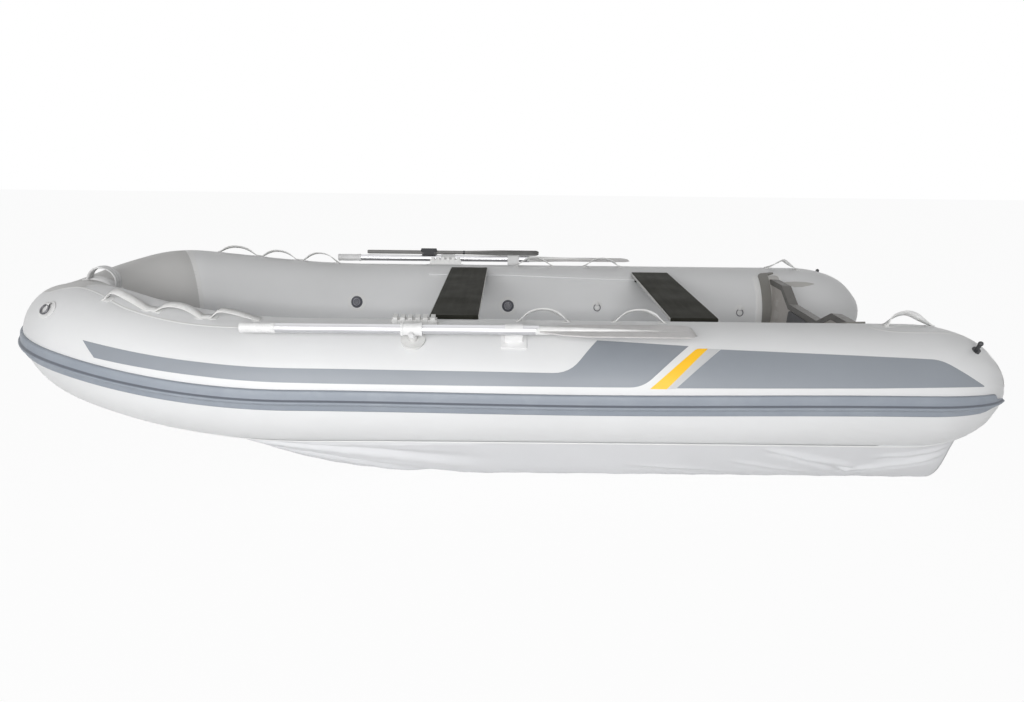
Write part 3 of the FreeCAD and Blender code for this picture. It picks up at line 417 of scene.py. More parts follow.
def axis_frame(along):
    """Middle of the port tube, its outward level and its radius, at a length along it. The length
    equals x on the straight, and goes on round the bow; past the stem it mirrors."""
    if along > STEM:
        middle, out, radius = axis_frame(2 * STEM - along)
        flip = Vector((1, -1, 1))
        return middle * flip, out * flip, radius
    if along <= STRAIGHT_X:
        radius = TUBE_R if along >= CONE_X else between(cone_points, along)
        return Vector((along, HALF, AXIS_Z)), PORT.copy(), radius
    share = share_at(along)
    step = 0.002
    heading = bow_point(min(share + step, 1.0)) - bow_point(max(share - step, 0.0))
    if share > 1 - step:
        heading = -PORT
    heading = heading.xy.normalized()
    return bow_point(min(share, 1.0)), Vector((-heading.y, heading.x, 0)), bow_radius(share)


def crease(along, angle):
    """The tube sinks a little where its bow and side lengths meet, most on the inner side."""
    inner = eased((angle - 75.0) / 40.0) * eased((250.0 - angle) / 40.0)
    near = max(0.0, 1.0 - abs(along - SEAM_AT) / CREASE_REACH)
    return CREASE_DEPTH * inner * near * near


def swell(along, angle):
    """Round the stem the skin stands out a little more towards the front."""
    front = eased(math.cos(math.radians(angle)) / 0.7)
    return SWELL_HEIGHT * eased((along - SWELL_START) / SWELL_RUN) * front


def on_tube(along, angle, proud=0.0, side=1):
    """A point on the tube's skin, at an angle in degrees above the outward level."""
    middle, out, radius = axis_frame(along)
    a = math.radians(angle)
    normal = out * math.cos(a) + Vector((0, 0, 1)) * math.sin(a)
    near_along = min(along, 2 * STEM - along)
    sunk = crease(near_along, angle % 360.0) - swell(near_along, angle)
    point = middle + normal * (radius + proud - sunk)
    if side < 0:
        point.y = -point.y
    return point


# ---------- mesh helpers ----------
def piece(name, bm, look, body="hull", smooth=True, replaces=(), recalc=True):
    bmesh.ops.remove_doubles(bm, verts=bm.verts, dist=1e-6)
    if recalc:
        bmesh.ops.recalc_face_normals(bm, faces=bm.faces)
    mesh = bpy.data.meshes.new(name)
    bm.to_mesh(mesh)
    bm.free()
    for face in mesh.polygons:
        face.use_smooth = smooth
    mesh.materials.append(look.material)
    obj = bpy.data.objects.new(name, mesh)
    bpy.context.scene.collection.objects.link(obj)
    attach(obj, body)
    if replaces:
        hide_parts(*replaces)
    return obj


def bevel(obj, width):
    m = obj.modifiers.new("bevel", "BEVEL")
    m.width, m.segments, m.limit_method, m.angle_limit = width, 2, "ANGLE", 0.6


def uv_layer(bm):
    return bm.loops.layers.uv.get("hull") or bm.loops.layers.uv.new("hull")


def grid(bm, rows, uvs, wrap=False, caps=()):
    """Faces between rows of points, with caps on the rows named; uvs(i, j) gives each point's
    length and girth in metres."""
    layer = uv_layer(bm)
    verts = [[bm.verts.new(p) for p in row] for row in rows]
    count = len(rows[0])
    for i in range(len(rows) - 1):
        for j in range(count if wrap else count - 1):
            k = (j + 1) % count
            face = bm.faces.new((verts[i][j], verts[i][k], verts[i + 1][k], verts[i + 1][j]))
            marks = (uvs(i, j), uvs(i, j + 1), uvs(i + 1, j + 1), uvs(i + 1, j))
            for loop, mark in zip(face.loops, marks):
                loop[layer].uv = mark
    for row in caps:
        bm.faces.new(verts[row])


def shell(name, look, rows, uvs, wrap=False, caps=(), **more):
    """A piece made of one grid."""
    bm = bmesh.new()
    grid(bm, rows, uvs, wrap, caps)
    return piece(name, bm, look, **more)


def sweep(bm, frames, loops):
    """A closed section carried along frames (middle, across, up). loops are (across, up) pairs, one
    list for all the frames or one for each."""
    if isinstance(loops[0][0], (int, float)):
        loops = [loops] * len(frames)
    rows = [
        [middle + across * a + up * b for a, b in loop] for (middle, across, up), loop in zip(frames, loops)
    ]
    length = [0.0]
    for last, now in zip(frames, frames[1:]):
        length.append(length[-1] + (now[0] - last[0]).length)
    count = len(loops[0])
    grid(bm, rows, lambda i, j: (length[i], loops[i][j % count][0]), True, (0, -1))


def swept(name, look, frames, loops, **more):
    """A piece made of one sweep."""
    bm = bmesh.new()
    sweep(bm, frames, loops)
    return piece(name, bm, look, **more)


def flat_loop(width, thick):
    """A flat section with edges thinned over their last millimetre or so."""
    w, t, edge = width / 2, thick / 2, 0.0012
    return [(-w, 0), (-w + edge, -t), (0, -t), (w - edge, -t), (w, 0), (w - edge, t), (0, t), (-w + edge, t)]


def round_loop(radius, count=16, high=None):
    high = high or radius
    return [(radius * math.cos(a), high * math.sin(a)) for a in turns(count)]


def tube_frames(path, side=1):
    """Frames along a path of (length, degrees, height) over the tube's skin."""
    places = [on_tube(a, b, h, side) for a, b, h in path]
    frames = []
    for i, (a, b, h) in enumerate(path):
        across = (on_tube(a, b + 1, h, side) - on_tube(a, b - 1, h, side)).normalized()
        run = (places[min(i + 1, len(places) - 1)] - places[max(i - 1, 0)]).normalized()
        up = run.cross(across).normalized()
        if up.dot(on_tube(a, b, h + 0.01, side) - places[i]) < 0:
            up = -up
        frames.append((places[i], across, up))
    return frames


# ---------- tubes ----------
def tube_skin(name, places, node, side=1):
    rows = [[on_tube(a, 360.0 * j / ROUND - 90.0, 0.0, side) for j in range(ROUND)] for a in places]
    shell(name, skin, rows, lambda i, j: (places[i], DEGREE * 360.0 * j / ROUND), True, replaces=[node])


def cone_skin(name, node, side):
    """The stern cone, with soft pleats where its gores gather at the tip."""
    rows = []
    for x, reach in cone_points:
        ring = []
        gathered = eased((CONE_X - 0.17 - x) / 0.16) * 0.0028
        for j in range(ROUND * 2):
            a = math.radians(180.0 * j / ROUND - 90.0)
            pleat = gathered * (0.6 + 0.4 * math.sin(7 * a)) * abs(math.sin(9 * a))
            radius = max(0.004, reach - pleat)
            ring.append(Vector((x, (HALF + radius * math.cos(a)) * side, AXIS_Z + radius * math.sin(a))))
        rows.append(ring)
    shell(name, skin, rows, lambda i, j: (cone_points[i].x, DEGREE * 180.0 * j / ROUND), True, (-1,),
          replaces=[node])


for side, word in SIDES:
    places = stations(CONE_X, (STRAIGHT_X, 0.08), (JOINT_AT, 0.02))
    tube_skin(word + "_side_skin", places, word + "_side_tube", side)
    cone_skin(word + "_cone_skin", word + "_stern_cone", side)
tube_skin("bow_skin", stations(JOINT_AT, (2 * STEM - JOINT_AT, 0.0125)), "bow_tube")


# ---------- strakes ----------
# Section of the strip: (degrees, height), from the upper band over the ridge to the lower band
STRAKE = (
    (9.0, 0.0005), (8.9, 0.0070), (8.4, 0.0105), (7.4, 0.0120), (4.0, 0.0128), (1.7, 0.0130), (1.0, 0.0132),
    (0.55, 0.0160), (0.15, 0.0222), (-0.35, 0.0252), (-1.1, 0.0258), (-2.2, 0.0240), (-3.1, 0.0185),
    (-3.8, 0.0140), (-4.6, 0.0125), (-7.6, 0.0120), (-8.9, 0.0105), (-9.4, 0.0070), (-9.5, 0.0005),
)
STRAKE_TIP = -1.906
BAND_HEIGHT = 0.013


def strake_end(angle):
    """How far aft the strake reaches at an angle: a slanted upper band, then a pointed ridge."""
    if angle > 2.0:
        return -1.868 + (angle - 2.0) * 0.0021
    if angle > -3.2:
        return STRAKE_TIP
    return -1.900 + (-3.2 - angle) * 0.019


for side, word in SIDES:
    places = stations(STRAKE_TIP, (-1.76, 0.008), (-1.56, 0.02), (STRAIGHT_X, 0.08), (STEM, 0.02))
    rows = []
    for along in places:
        low = -2.0 * eased(1.0 - abs(along + 0.42) / 1.05)
        bow = eased((along - 1.60) / 0.40)
        row = []
        for angle, proud in STRAKE:
            height = min(proud, BAND_HEIGHT) + max(0.0, proud - BAND_HEIGHT) * (1.0 - 0.5 * bow)
            row.append(on_tube(max(along, strake_end(angle)), angle + low, height * (1.0 - 0.6 * bow), side))
        rows.append(row)
    shell(word + "_strake_moulding", rubber, rows, lambda i, j: (places[i], DEGREE * STRAKE[j][0]),
          replaces=[word + "_rubbing_strake"])


# ---------- appliques on the skin ----------
def applique(name, outline, look, side=1, proud=0.0007, thick=0.0, step_along=0.02, step_angle=4.0):
    """A sheet welded on the tube. Its outline is given along the tube and round it in degrees."""
    flat = 0.01
    bm = bmesh.new()
    layer = uv_layer(bm)
    bm.faces.new([bm.verts.new((a, b * flat, 0)) for a, b in outline])
    for axis, step in ((0, step_along), (1, step_angle * flat)):
        values = [vert.co[axis] for vert in bm.verts]
        cut, high = min(values) + step, max(values)
        way = Vector((1 - axis, axis, 0))
        while cut < high - 0.001:
            geom = bm.verts[:] + bm.edges[:] + bm.faces[:]
            bmesh.ops.bisect_plane(bm, geom=geom, dist=1e-7, plane_co=way * cut, plane_no=way)
            cut += step
    bmesh.ops.triangulate(bm, faces=bm.faces)
    for face in bm.faces:
        for loop in face.loops:
            loop[layer].uv = (loop.vert.co.x, DEGREE * loop.vert.co.y / flat)
    for vert in bm.verts:
        vert.co = on_tube(vert.co.x, vert.co.y / flat, proud, side)
    bm.normal_update()
    probe = bm.faces[:][0]
    mark = probe.loops[0][layer].uv
    angle = mark.y / DEGREE
    outward = on_tube(mark.x, angle, 0.1, side) - on_tube(mark.x, angle, 0.0, side)
    if probe.normal.dot(outward) < 0:
        bmesh.ops.reverse_faces(bm, faces=bm.faces)
    obj = piece(name, bm, look, recalc=False)
    if thick:
        solid = obj.modifiers.new("solidify", "SOLIDIFY")
        solid.thickness, solid.offset = thick, -1.0
        bevel(obj, min(0.0012, thick * 0.4))
    return obj


def rounded(corners):
    """An outline from corners (along, degrees, radius in metres); a radius turns into an arc."""
    count = 6
    flat = [(Vector((a, b * DEGREE)), r) for a, b, r in corners]
    out = []
    for i, (point, radius) in enumerate(flat):
        if radius <= 0:
            out.append(point)
            continue
        before = flat[i - 1][0] - point
        after = flat[(i + 1) % len(flat)][0] - point
        half = before.angle(after) / 2
        reach = min(radius / math.tan(half), before.length * 0.49, after.length * 0.49)
        start = point + before.normalized() * reach
        end = point + after.normalized() * reach
        for k in range(count + 1):
            t = k / count
            out.append(start * (1 - t) ** 2 + point * 2 * t * (1 - t) + end * t * t)
    return [(p.x, p.y / DEGREE) for p in out]


def rectangle(along, angle, half_length, half_girth, radius):
    """An outline with rounded corners round a middle; its halves are in metres."""
    h = half_girth / DEGREE
    return rounded([
        (along + u * half_length, angle + v * h, radius) for u, v in ((-1, -1), (1, -1), (1, 1), (-1, 1))
    ])


def ellipse(along, angle, length, width, count):
    """An oval outline, its length and width in metres."""
    return [
        (along + length / 2 * math.cos(a), angle + width / 2 * math.sin(a) / DEGREE) for a in turns(count)
    ]


def tape_strip(name, path, width, side):
    """A thin welded tape that follows a path of (length, degrees) on the skin."""
    flat = [Vector((a, b * DEGREE)) for a, b in path]
    offsets = ((-0.5, 0.1), (-0.42, 1.0), (0.0, 1.0), (0.42, 1.0), (0.5, 0.1))
    rows = []
    for i, point in enumerate(flat):
        run = (flat[min(i + 1, len(flat) - 1)] - flat[max(i - 1, 0)]).normalized()
        across = Vector((-run.y, run.x)) * width
        spots = [(point + across * share, height) for share, height in offsets]
        rows.append([on_tube(p.x, p.y / DEGREE, 0.0008 * height, side) for p, height in spots])
    shell(name, tape, rows, lambda i, j: (flat[i].x + flat[i].y, offsets[j][0] * width))


fore_panel = rounded([
    (1.388, 27.0, 0), (1.336, 14.6, 0), (1.15, 15.6, 0), (0.968, 16.0, 0), (0.5, 14.6, 0), (0.0, 14.0, 0),
    (-0.42, 13.8, 0), (-0.575, 14.0, 0.12), (-0.747, 52.4, 0), (-0.42, 58.0, 0), (-0.318, 25.6, 0.12),
    (0.0, 26.4, 0), (0.5, 27.4, 0), (0.971, 28.0, 0), (1.15, 27.6, 0), (1.28, 27.4, 0),
])
aft_panel = rounded([
    (-0.692, 13.6, 0), (-1.0, 14.2, 0), (-1.4, 15.2, 0), (-1.809, 17.4, 0.004), (-1.735, 28.0, 0.2),
    (-1.64, 41.2, 0.15), (-1.40, 43.8, 0), (-1.1, 46.8, 0), (-0.86, 49.2, 0),
])
yellow_slash = rounded([(-0.601, 12.8, 0), (-0.660, 12.8, 0), (-0.815, 49.9, 0), (-0.775, 49.9, 0.03)])
light_slash = rounded([(-0.660, 12.8, 0), (-0.692, 13.2, 0), (-0.858, 49.4, 0), (-0.815, 49.9, 0)])
SEAM_TAPES = (
    ("_upper_seam_tape", 0.010, 8, (
        (1.70, 60.0), (1.667, 65.0), (1.62, 73.0), (1.577, 78.5), (1.51, 79.5), (1.442, 77.5), (1.37, 72.5),
        (1.295, 68.4), (1.158, 65.2), (1.024, 65.0), (0.878, 68.0), (0.74, 73.0),
    )),
    ("_joint_seam_tape", 0.030, 6, [(SEAM_AT, a) for a in (84.0, 110.0, 140.0, 170.0, 200.0, 230.0)]),
    ("_stern_strap_tape", 0.010, 8, (
        (-1.445, 86.0), (-1.462, 80.0), (-1.52, 75.0), (-1.64, 74.5), (-1.76, 80.0), (-1.80, 84.0),
    )),
    ("_cone_seam_tape", 0.008, 8, (
        (-1.80, 84.0), (-1.86, 73.0), (-1.915, 62.0), (-1.935, 40.0), (-1.935, 15.0),
    )),
)

for side, word in SIDES:
    for tail, outline, look, proud in (
        ("_fore_panel", fore_panel, stripe, 0.0007),
        ("_aft_panel", aft_panel, stripe, 0.0007),
        ("_yellow_slash", yellow_slash, stripe_yellow, 0.0010),
        ("_light_slash", light_slash, stripe_light, 0.0009),
    ):
        applique(word + tail, outline, look, side, proud, step_along=0.03)
    for tail, width, count, path in SEAM_TAPES:
        tape_strip(word + tail, smooth_path(path, count), width, side)


# ---------- fabric bottom ----------
TAIL_X = -1.485
TAIL_END = -1.797
TAIL_INNER = 0.445
LAP = 7.0
COLUMNS = [3, 6, 6, 4, 12, 26]
# Drawn folds: ends as (x, depth below the seam), then height
FOLDS = (
    (-1.06, 0.012, -1.50, 0.118, 0.0150), (-1.20, 0.050, -1.50, 0.150, 0.0105),
    (-1.80, 0.060, -1.36, 0.142, 0.0135), (-1.80, 0.022, -1.50, 0.055, 0.0085),
    (-0.95, 0.085, -1.32, 0.160, 0.0080), (-0.55, 0.110, -1.05, 0.165, 0.0050),
)


def seam_angle(x):
    """Where the bottom's cloth meets the tube, in degrees below the outward level."""
    return 61.5 + 6.5 * eased((x - 0.35) / 0.6) + 1.5 * eased((-0.8 - x) / 0.6)


def share_of_x(x):
    low, high = 0.0, 1.0
    for i in range(30):
        middle = (low + high) / 2
        low, high = (middle, high) if bow_point(middle).x < x else (low, middle)
    return low


def bottom_section(x):
    """Corners of the bottom's section on the port side from the keel up, its soft line from seam to
    seam, and its lap on the tube."""
    share = share_of_x(x) if x > STRAIGHT_X else 0.0
    centre = bow_point(share)
    low = centre.z - bow_radius(share)
    spread = centre.y / HALF
    run = min(max((x + 0.1) / 1.05, 0.0), 1.0)
    runner = max(TUBE_LOW * (1 - run ** 3), 0.004)
    keel = max(TUBE_LOW * (1 - 1.1 * eased((x - 0.35) / (STEM_X - 0.35))), 0.006)
    radius = bow_radius(share) if x > CONE_X else between(cone_points, x)
    half = [
        (0.0, low - keel),
        (0.070 * spread, low - keel + 0.004),
        (0.270 * spread, low - runner + 0.026 * runner / TUBE_LOW),
        (0.490 * spread, low - runner + 0.003),
        (0.560 * spread, low - runner),
        (0.640 * spread, low - runner * 0.62),
    ]
    across = bow_point(share + 0.001) - bow_point(max(share - 0.001, 0.0))
    turn = across.x / math.hypot(across.x, across.y)
    lap = []
    for extra in (0.0, 0.5, 1.0):
        a = math.radians(seam_angle(x) - LAP * extra)
        reach = radius + (0.0012 if extra else 0.0)
        lap.append(Vector((centre.y + reach * math.cos(a) * turn, centre.z - reach * math.sin(a))))
    half.append(tuple(lap[0]))
    line = smooth_path([(-y, z) for y, z in reversed(half)] + half[1:], COLUMNS[::-1] + COLUMNS)
    return half, line, lap[1:]


def wrinkle(x, y, down):
    """How far the bottom's cloth stands out from its drawn form, by small folds."""
    side_part = eased((abs(y) - 0.44) / 0.10)
    out = 0.0009 * math.sin(23 * x + 41 * down) + 0.0007 * math.sin(61 * x - 17 * y)
    fan = math.atan2(down + 0.015, max(0.05, 1.02 - x))
    fade = eased((x + 0.15) / 0.5) * eased((1.0 - x) / 0.12)
    out += side_part * fade * 0.0085 * (math.sin(fan * 44.0) + 0.4 * math.sin(fan * 91.0 + 1.0))
    for x0, d0, x1, d1, height in FOLDS:
        share = (x - x0) / (x1 - x0)
        along_fold = eased(share * 4) * eased((1 - share) * 4)
        off = down - d0 - (d1 - d0) * share
        out += side_part * along_fold * height * (ridge(off, 0.010) - 0.7 * ridge(off - 0.020, 0.010))
    return out * eased(down / 0.012)


def creased(line, x):
    """Section points with their folds, and the girth at each."""
    top = line[-1].y
    row, mark = [], []
    girth = 0.0
    for i, p in enumerate(line):
        before, after = line[max(i - 1, 0)], line[min(i + 1, len(line) - 1)]
        way = (after - before).normalized()
        girth += (p - before).length
        hidden = abs(p.x) < TAIL_INNER and x < TAIL_X
        out = 0.0 if hidden else wrinkle(x, p.x, max(0.0, top - 0.018 - p.y))
        row.append(Vector((x, p.x + way.y * out, max(0.0002, p.y - way.x * out))))
        mark.append(girth)
    return row, mark


def fabric_bottom():
    bm = bmesh.new()
    xs = stations(TAIL_X, (-0.85, 0.012), (0.05, 0.03), (STRAIGHT_X, 0.015))[:-1]
    xs += [bow_point(0.80 * i / 56).x for i in range(57)]
    rows, marks = [], []
    for x in xs:
        half, line, lap = bottom_section(x)
        mirrored = [p * Vector((-1, 1)) for p in reversed(lap)]
        row, mark = creased(mirrored + line + lap, x)
        rows.append(row)
        marks.append(mark)
    grid(bm, rows, lambda i, j: (xs[i], marks[i][min(j, len(marks[i]) - 1)]))

    # The wall under the transom
    wall = [p for p in rows[0] if abs(p.y) < 0.52]
    grid(bm, [[Vector((p.x, p.y, BOTTOM_TOP)) for p in wall], wall], lambda i, j: (i * 0.2, j * 0.01))

    # The tails run aft beside it, down the inner wall, under the runner and up to the tube
    for side, word in SIDES:
        rows = []
        for i in range(31):
            x = TAIL_X + (TAIL_END - TAIL_X) * i / 30
            half, whole, lap = bottom_section(x)
            runner = whole[sum(COLUMNS) + sum(COLUMNS[:3]):]
            inside = Vector((TAIL_INNER, between(half[:5], TAIL_INNER)))
            inner = [Vector((TAIL_INNER, BOTTOM_TOP + (inside.y - BOTTOM_TOP) * k / 6)) for k in range(6)]
            outer = [inside.lerp(runner[0], k / 3) for k in range(3)] + runner
            row, mark = creased(inner + outer + lap, x)
            deep = HALF - 0.03
            row = [Vector((x, deep, BOTTOM_TOP))] + row + [Vector((x, deep, row[-1].z + 0.02))]
            rows.append([Vector((p.x, p.y * side, p.z)) for p in row])
        grid(bm, rows, lambda i, j: (i * 0.012, j * 0.01), caps=(-1,))

    # The cloth ahead of the floor rises to the bow tube
    rows = []
    for i in range(25):
        x = 1.185 + (1.70 - 1.185) * i / 24
        reach = bow_point(share_of_x(x)).y - 0.02
        z = BOTTOM_TOP + max(0.0, x - 1.21) * math.tan(math.radians(18.0))
        rows.append([Vector((x, reach * (j / 20 - 1), z + 0.0015 * math.sin(x * 40 + j))) for j in range(41)])
    grid(bm, rows, lambda i, j: (i * 0.02, j * 0.025))
    piece("bottom_cloth", bm, hull_cloth, replaces=["fabric_bottom"])


fabric_bottom()

for side, word in SIDES:
    # A welded piping closes the seam between tube and bottom
    path = []
    for a in stations(-1.84, (STRAIGHT_X, 0.05), (1.62, 0.02)):
        x = bow_point(share_at(a)).x if a > STRAIGHT_X else a
        path.append((a, -seam_angle(x) + 0.6, 0.0012))
    swept(word + "_bottom_piping", tape, tube_frames(path, side), round_loop(0.0045, 10, 0.0026))

# Painted shade: a darker sheet over the bow tube's inner side, from the upper seam line down and between the
# joint seams round the stem, stands in for the shade there
shade_edge = [(1.577, 78.6), (1.62, 73.2), (1.667, 65.2), (1.70, 61.5), (1.80, 58.0)]
inner_shade_outline = shade_edge + [(2 * STEM - a, b) for a, b in reversed(shade_edge)]
inner_shade_outline += [(2 * STEM - SEAM_AT, 84.0), (2 * STEM - SEAM_AT, 238.0), (SEAM_AT, 238.0), (SEAM_AT, 84.0)]
applique("bow_inner_painted_shade", inner_shade_outline, bow_shade_cloth, 1, 0.0006)


# ---------- grab straps ----------
# Rises of a loop from foot to foot: (share of its length, share of its height)
EVEN = (
    (0, 0), (0.06, 0.20), (0.2, 0.66), (0.35, 0.93), (0.5, 1),
    (0.65, 0.93), (0.8, 0.66), (0.94, 0.20), (1, 0),
)
STEEP = ((0, 0), (0.08, 0.34), (0.2, 0.82), (0.34, 1), (0.52, 0.84), (0.75, 0.44), (0.92, 0.10), (1, 0))
EARLY = ((0, 0), (0.06, 0.34), (0.14, 0.80), (0.26, 1), (0.45, 0.86), (0.72, 0.46), (0.92, 0.10), (1, 0))
PEAKED = ((0, 0), (0.15, 0.24), (0.36, 0.74), (0.48, 1), (0.56, 0.96), (0.72, 0.55), (0.88, 0.18), (1, 0))
BLUNT = ((0, 0), (0.10, 0.62), (0.25, 0.92), (0.42, 1), (0.60, 0.78), (0.80, 0.34), (0.94, 0.08), (1, 0))
# Loops: front and rear length, front and rear degrees, rise, heights, twist in degrees
SIDE_LOOPS = (
    (-0.138, -0.322, 93.0, 93.0, 0.0425, EVEN, 22.0),
    (-0.498, -0.682, 93.0, 93.0, 0.0425, EVEN, 22.0),
)
LOOPS = {
    1: (
        (1.408, 1.232, 74.4, 74.8, 0.0425, STEEP, -8.0),
        (1.200, 1.030, 76.0, 77.4, 0.0340, EVEN, -8.0),
        (0.996, 0.828, 80.0, 84.0, 0.0290, EARLY, -6.0),
        *SIDE_LOOPS,
        (-1.515, -1.706, 89.0, 99.0, 0.0425, BLUNT, 38.0),
    ),
    -1: (
        (1.412, 1.236, 74.4, 75.0, 0.0360, EVEN, 8.0),
        (1.208, 1.040, 76.0, 77.6, 0.0360, EVEN, 8.0),
        (1.000, 0.822, 80.0, 84.0, 0.0425, EVEN, 8.0),
        *SIDE_LOOPS,
        (-1.472, -1.626, 89.0, 97.0, 0.0425, PEAKED, 25.0),
    ),
}
STRAP_LIFT = 0.0035
RUN_LIFT = 0.0036
STRAP_FOOT = 0.006
PAD_INSET = 0.004


def strap_frames(front, rear, angle_front, angle_rear, rise, heights, twist, side):
    """A webbing loop, flat at its feet and turned about its own line where it stands high."""
    path = [(front + STRAP_FOOT * share, angle_front, STRAP_LIFT) for share in (1, 0.4)]
    for share, height in smooth_path(heights, 5):
        angle = angle_front + (angle_rear - angle_front) * share
        path.append((front + (rear - front) * share, angle, STRAP_LIFT + rise * max(0.0, height)))
    path += [(rear - STRAP_FOOT * share, angle_rear, STRAP_LIFT) for share in (0.4, 1)]
    high = max(p[2] for p in path)
    frames = []
    for (middle, across, up), (a, b, height) in zip(tube_frames(path, side), path):
        angle = -twist * side * min(1.0, 1.6 * (height - STRAP_LIFT) / high)
        turn = Matrix.Rotation(math.radians(angle), 3, across.cross(up))
        frames.append((middle, turn @ across, turn @ up))
    return frames


def straps(side, word):
    bm = bmesh.new()
    section = flat_loop(0.034, 0.0040)
    loops = LOOPS[side]
    for loop in loops:
        sweep(bm, strap_frames(*loop, side), section)
    for start, end in zip(loops[:2], loops[1:3]):
        first, last = start[1] - PAD_INSET, end[0] + PAD_INSET
        turn = end[2] - start[3]
        run = [(first + (last - first) * k / 6, start[3] + turn * k / 6, RUN_LIFT) for k in range(7)]
        sweep(bm, tube_frames(run, side), section)
    piece(word + "_webbing", bm, webbing, replaces=[word + "_grab_straps"])
    ends = []
    for front, rear, angle_front, angle_rear, *rest in loops:
        ends += [(front - PAD_INSET, angle_front), (rear + PAD_INSET, angle_rear)]
    for i, (a, b) in enumerate(ends):
        outline = rectangle(a, b, 0.017, 0.019, 0.008)
        applique(f"{word}_strap_pad_{i}", outline, tape, side, 0.0016, 0.0014, step_angle=3.0)


for side, word in SIDES:
    straps(side, word)


# ---------- carrying handle at the stem ----------
def handle():
    base = on_tube(STEM, HANDLE_ANGLE)
    normal = (on_tube(STEM, HANDLE_ANGLE, 0.1) - base).normalized()
    run = normal.cross(PORT).normalized()
    if run.x > 0:
        run = -run
    arch = ((0.064, -0.020), (0.063, 0.0), (0.058, 0.024), (0.043, 0.046), (0.020, 0.058))
    line = smooth_path([(-s, h) for s, h in arch] + [(0.0, 0.0605)] + list(reversed(arch)), 4)
    half = 0.0300
    ribs = [(-half, 0.0)]
    for k in range(1, 24):
        ribs.append((-half + half * k / 12, 0.0018 + 0.0030 * abs(math.sin(math.pi * k / 8)) ** 0.6))
    ribs += [(half, 0.0)] + [(half - half * k / 3, -0.0035) for k in range(1, 6)]
    frames, loops = [], []
    for i, (s, h) in enumerate(line):
        way = (line[min(i + 1, len(line) - 1)] - line[max(i - 1, 0)]).normalized()
        frames.append((base + run * s + normal * h, PORT, run * -way.y + normal * way.x))
        wide = 1.0 - 0.12 * (1 - abs(i / (len(line) - 1) - 0.5) * 2)
        loops.append([(a * wide, b) for a, b in ribs])
    swept("bow_handle_moulding", white_plastic, frames, loops, replaces=["bow_handle"])

    # A squarish raised base under the arch
    rows = []
    for k in range(9):
        a = math.pi / 2 * k / 8
        ring = []
        for turn in turns(48):
            c, q = math.cos(turn), math.sin(turn)
            scale = math.cos(a) * (abs(c) ** 4 + abs(q) ** 4) ** -0.25
            foot = base + PORT * (0.029 * scale * c) + run * (0.060 * scale * q)
            ring.append(foot + normal * (0.0200 * math.sin(a) - 0.012 * (scale * q) ** 2 - 0.004))
        rows.append(ring)
    shell("bow_handle_base", white_plastic, rows, lambda i, j: (i * 0.01, j * 0.01), True, (-1,))
    for i, angle in enumerate((84.5, 133.5)):
        outline = rectangle(STEM, angle, 0.036, 0.024, 0.010)
        applique(f"handle_foot_{i}", outline, tape, 1, 0.0030, 0.0026, 0.01, 3.0)


handle()


# ---------- valves ----------
# Section of a screwed valve: welded flange, groove and cap, as (radius, height)
VALVE = (
    (0.0302, 0.0), (0.0302, 0.0030), (0.0290, 0.0040), (0.0262, 0.0042), (0.0256, 0.0030),
    (0.0240, 0.0030), (0.0234, 0.0068), (0.0222, 0.0084), (0.0200, 0.0088), (0.0180, 0.0078),
    (0.0120, 0.0070), (0.0060, 0.0072), (0.0008, 0.0074),
)
VALVE_RING = ((0.0186, 0.0080), (0.0184, 0.0092), (0.0164, 0.0092), (0.0160, 0.0074))


def turned(along, angle, profile, count, side, hollows=()):
    """Rings of a small round fitting on the skin; three finger hollows cut into some of them."""
    rows = []
    for k, (radius, proud) in enumerate(profile):
        ring = []
        for a in turns(count):
            reach = radius - (0.0022 * max(0.0, math.cos(3 * a)) ** 4 if k in hollows else 0.0)
            over = reach * math.sin(a) / DEGREE
            ring.append(on_tube(along + reach * math.cos(a), angle + over, proud, side))
        rows.append(ring)
    return rows


for side, word in SIDES:
    bm = bmesh.new()
    for place in VALVES:
        rows = turned(*place, VALVE, 48, side, (6, 7, 8))
        grid(bm, rows, lambda i, j: (VALVE[i][0], j * 0.004), True, (-1,))
    piece(word + "_valve_caps", bm, valve_plastic, replaces=[word + "_valves"])
    bm = bmesh.new()
    for place in VALVES:
        grid(bm, turned(*place, VALVE_RING, 40, side), lambda i, j: (i * 0.001, j * 0.003), True)
    piece(word + "_valve_rings", bm, valve_ring)
    for i, place in enumerate(VALVES):
        applique(f"{word}_valve_patch_{i}", ellipse(*place, 0.098, 0.098, 40), tape, side, 0.0012, 0.001)


# ---------- oars ----------
OAR_OUT = Vector((0, math.cos(OAR_ANGLE), math.sin(OAR_ANGLE)))
OAR_SIDE = Vector((0, math.sin(OAR_ANGLE), -math.cos(OAR_ANGLE)))
ROLL_SIDE = OAR_SIDE * math.cos(BLADE_ROLL) + OAR_OUT * math.sin(BLADE_ROLL)
ROLL_OUT = OAR_OUT * math.cos(BLADE_ROLL) - OAR_SIDE * math.sin(BLADE_ROLL)
# Half widths and radii: (x, size)
BLADE = (
    (-0.208, 0.0172), (-0.225, 0.0200), (-0.260, 0.0400), (-0.298, 0.0630), (-0.335, 0.0712),
    (-0.378, 0.0745), (-0.560, 0.0750), (-0.725, 0.0745), (-0.745, 0.0690), (-0.754, 0.0600),
    (-0.757, 0.0500),
)
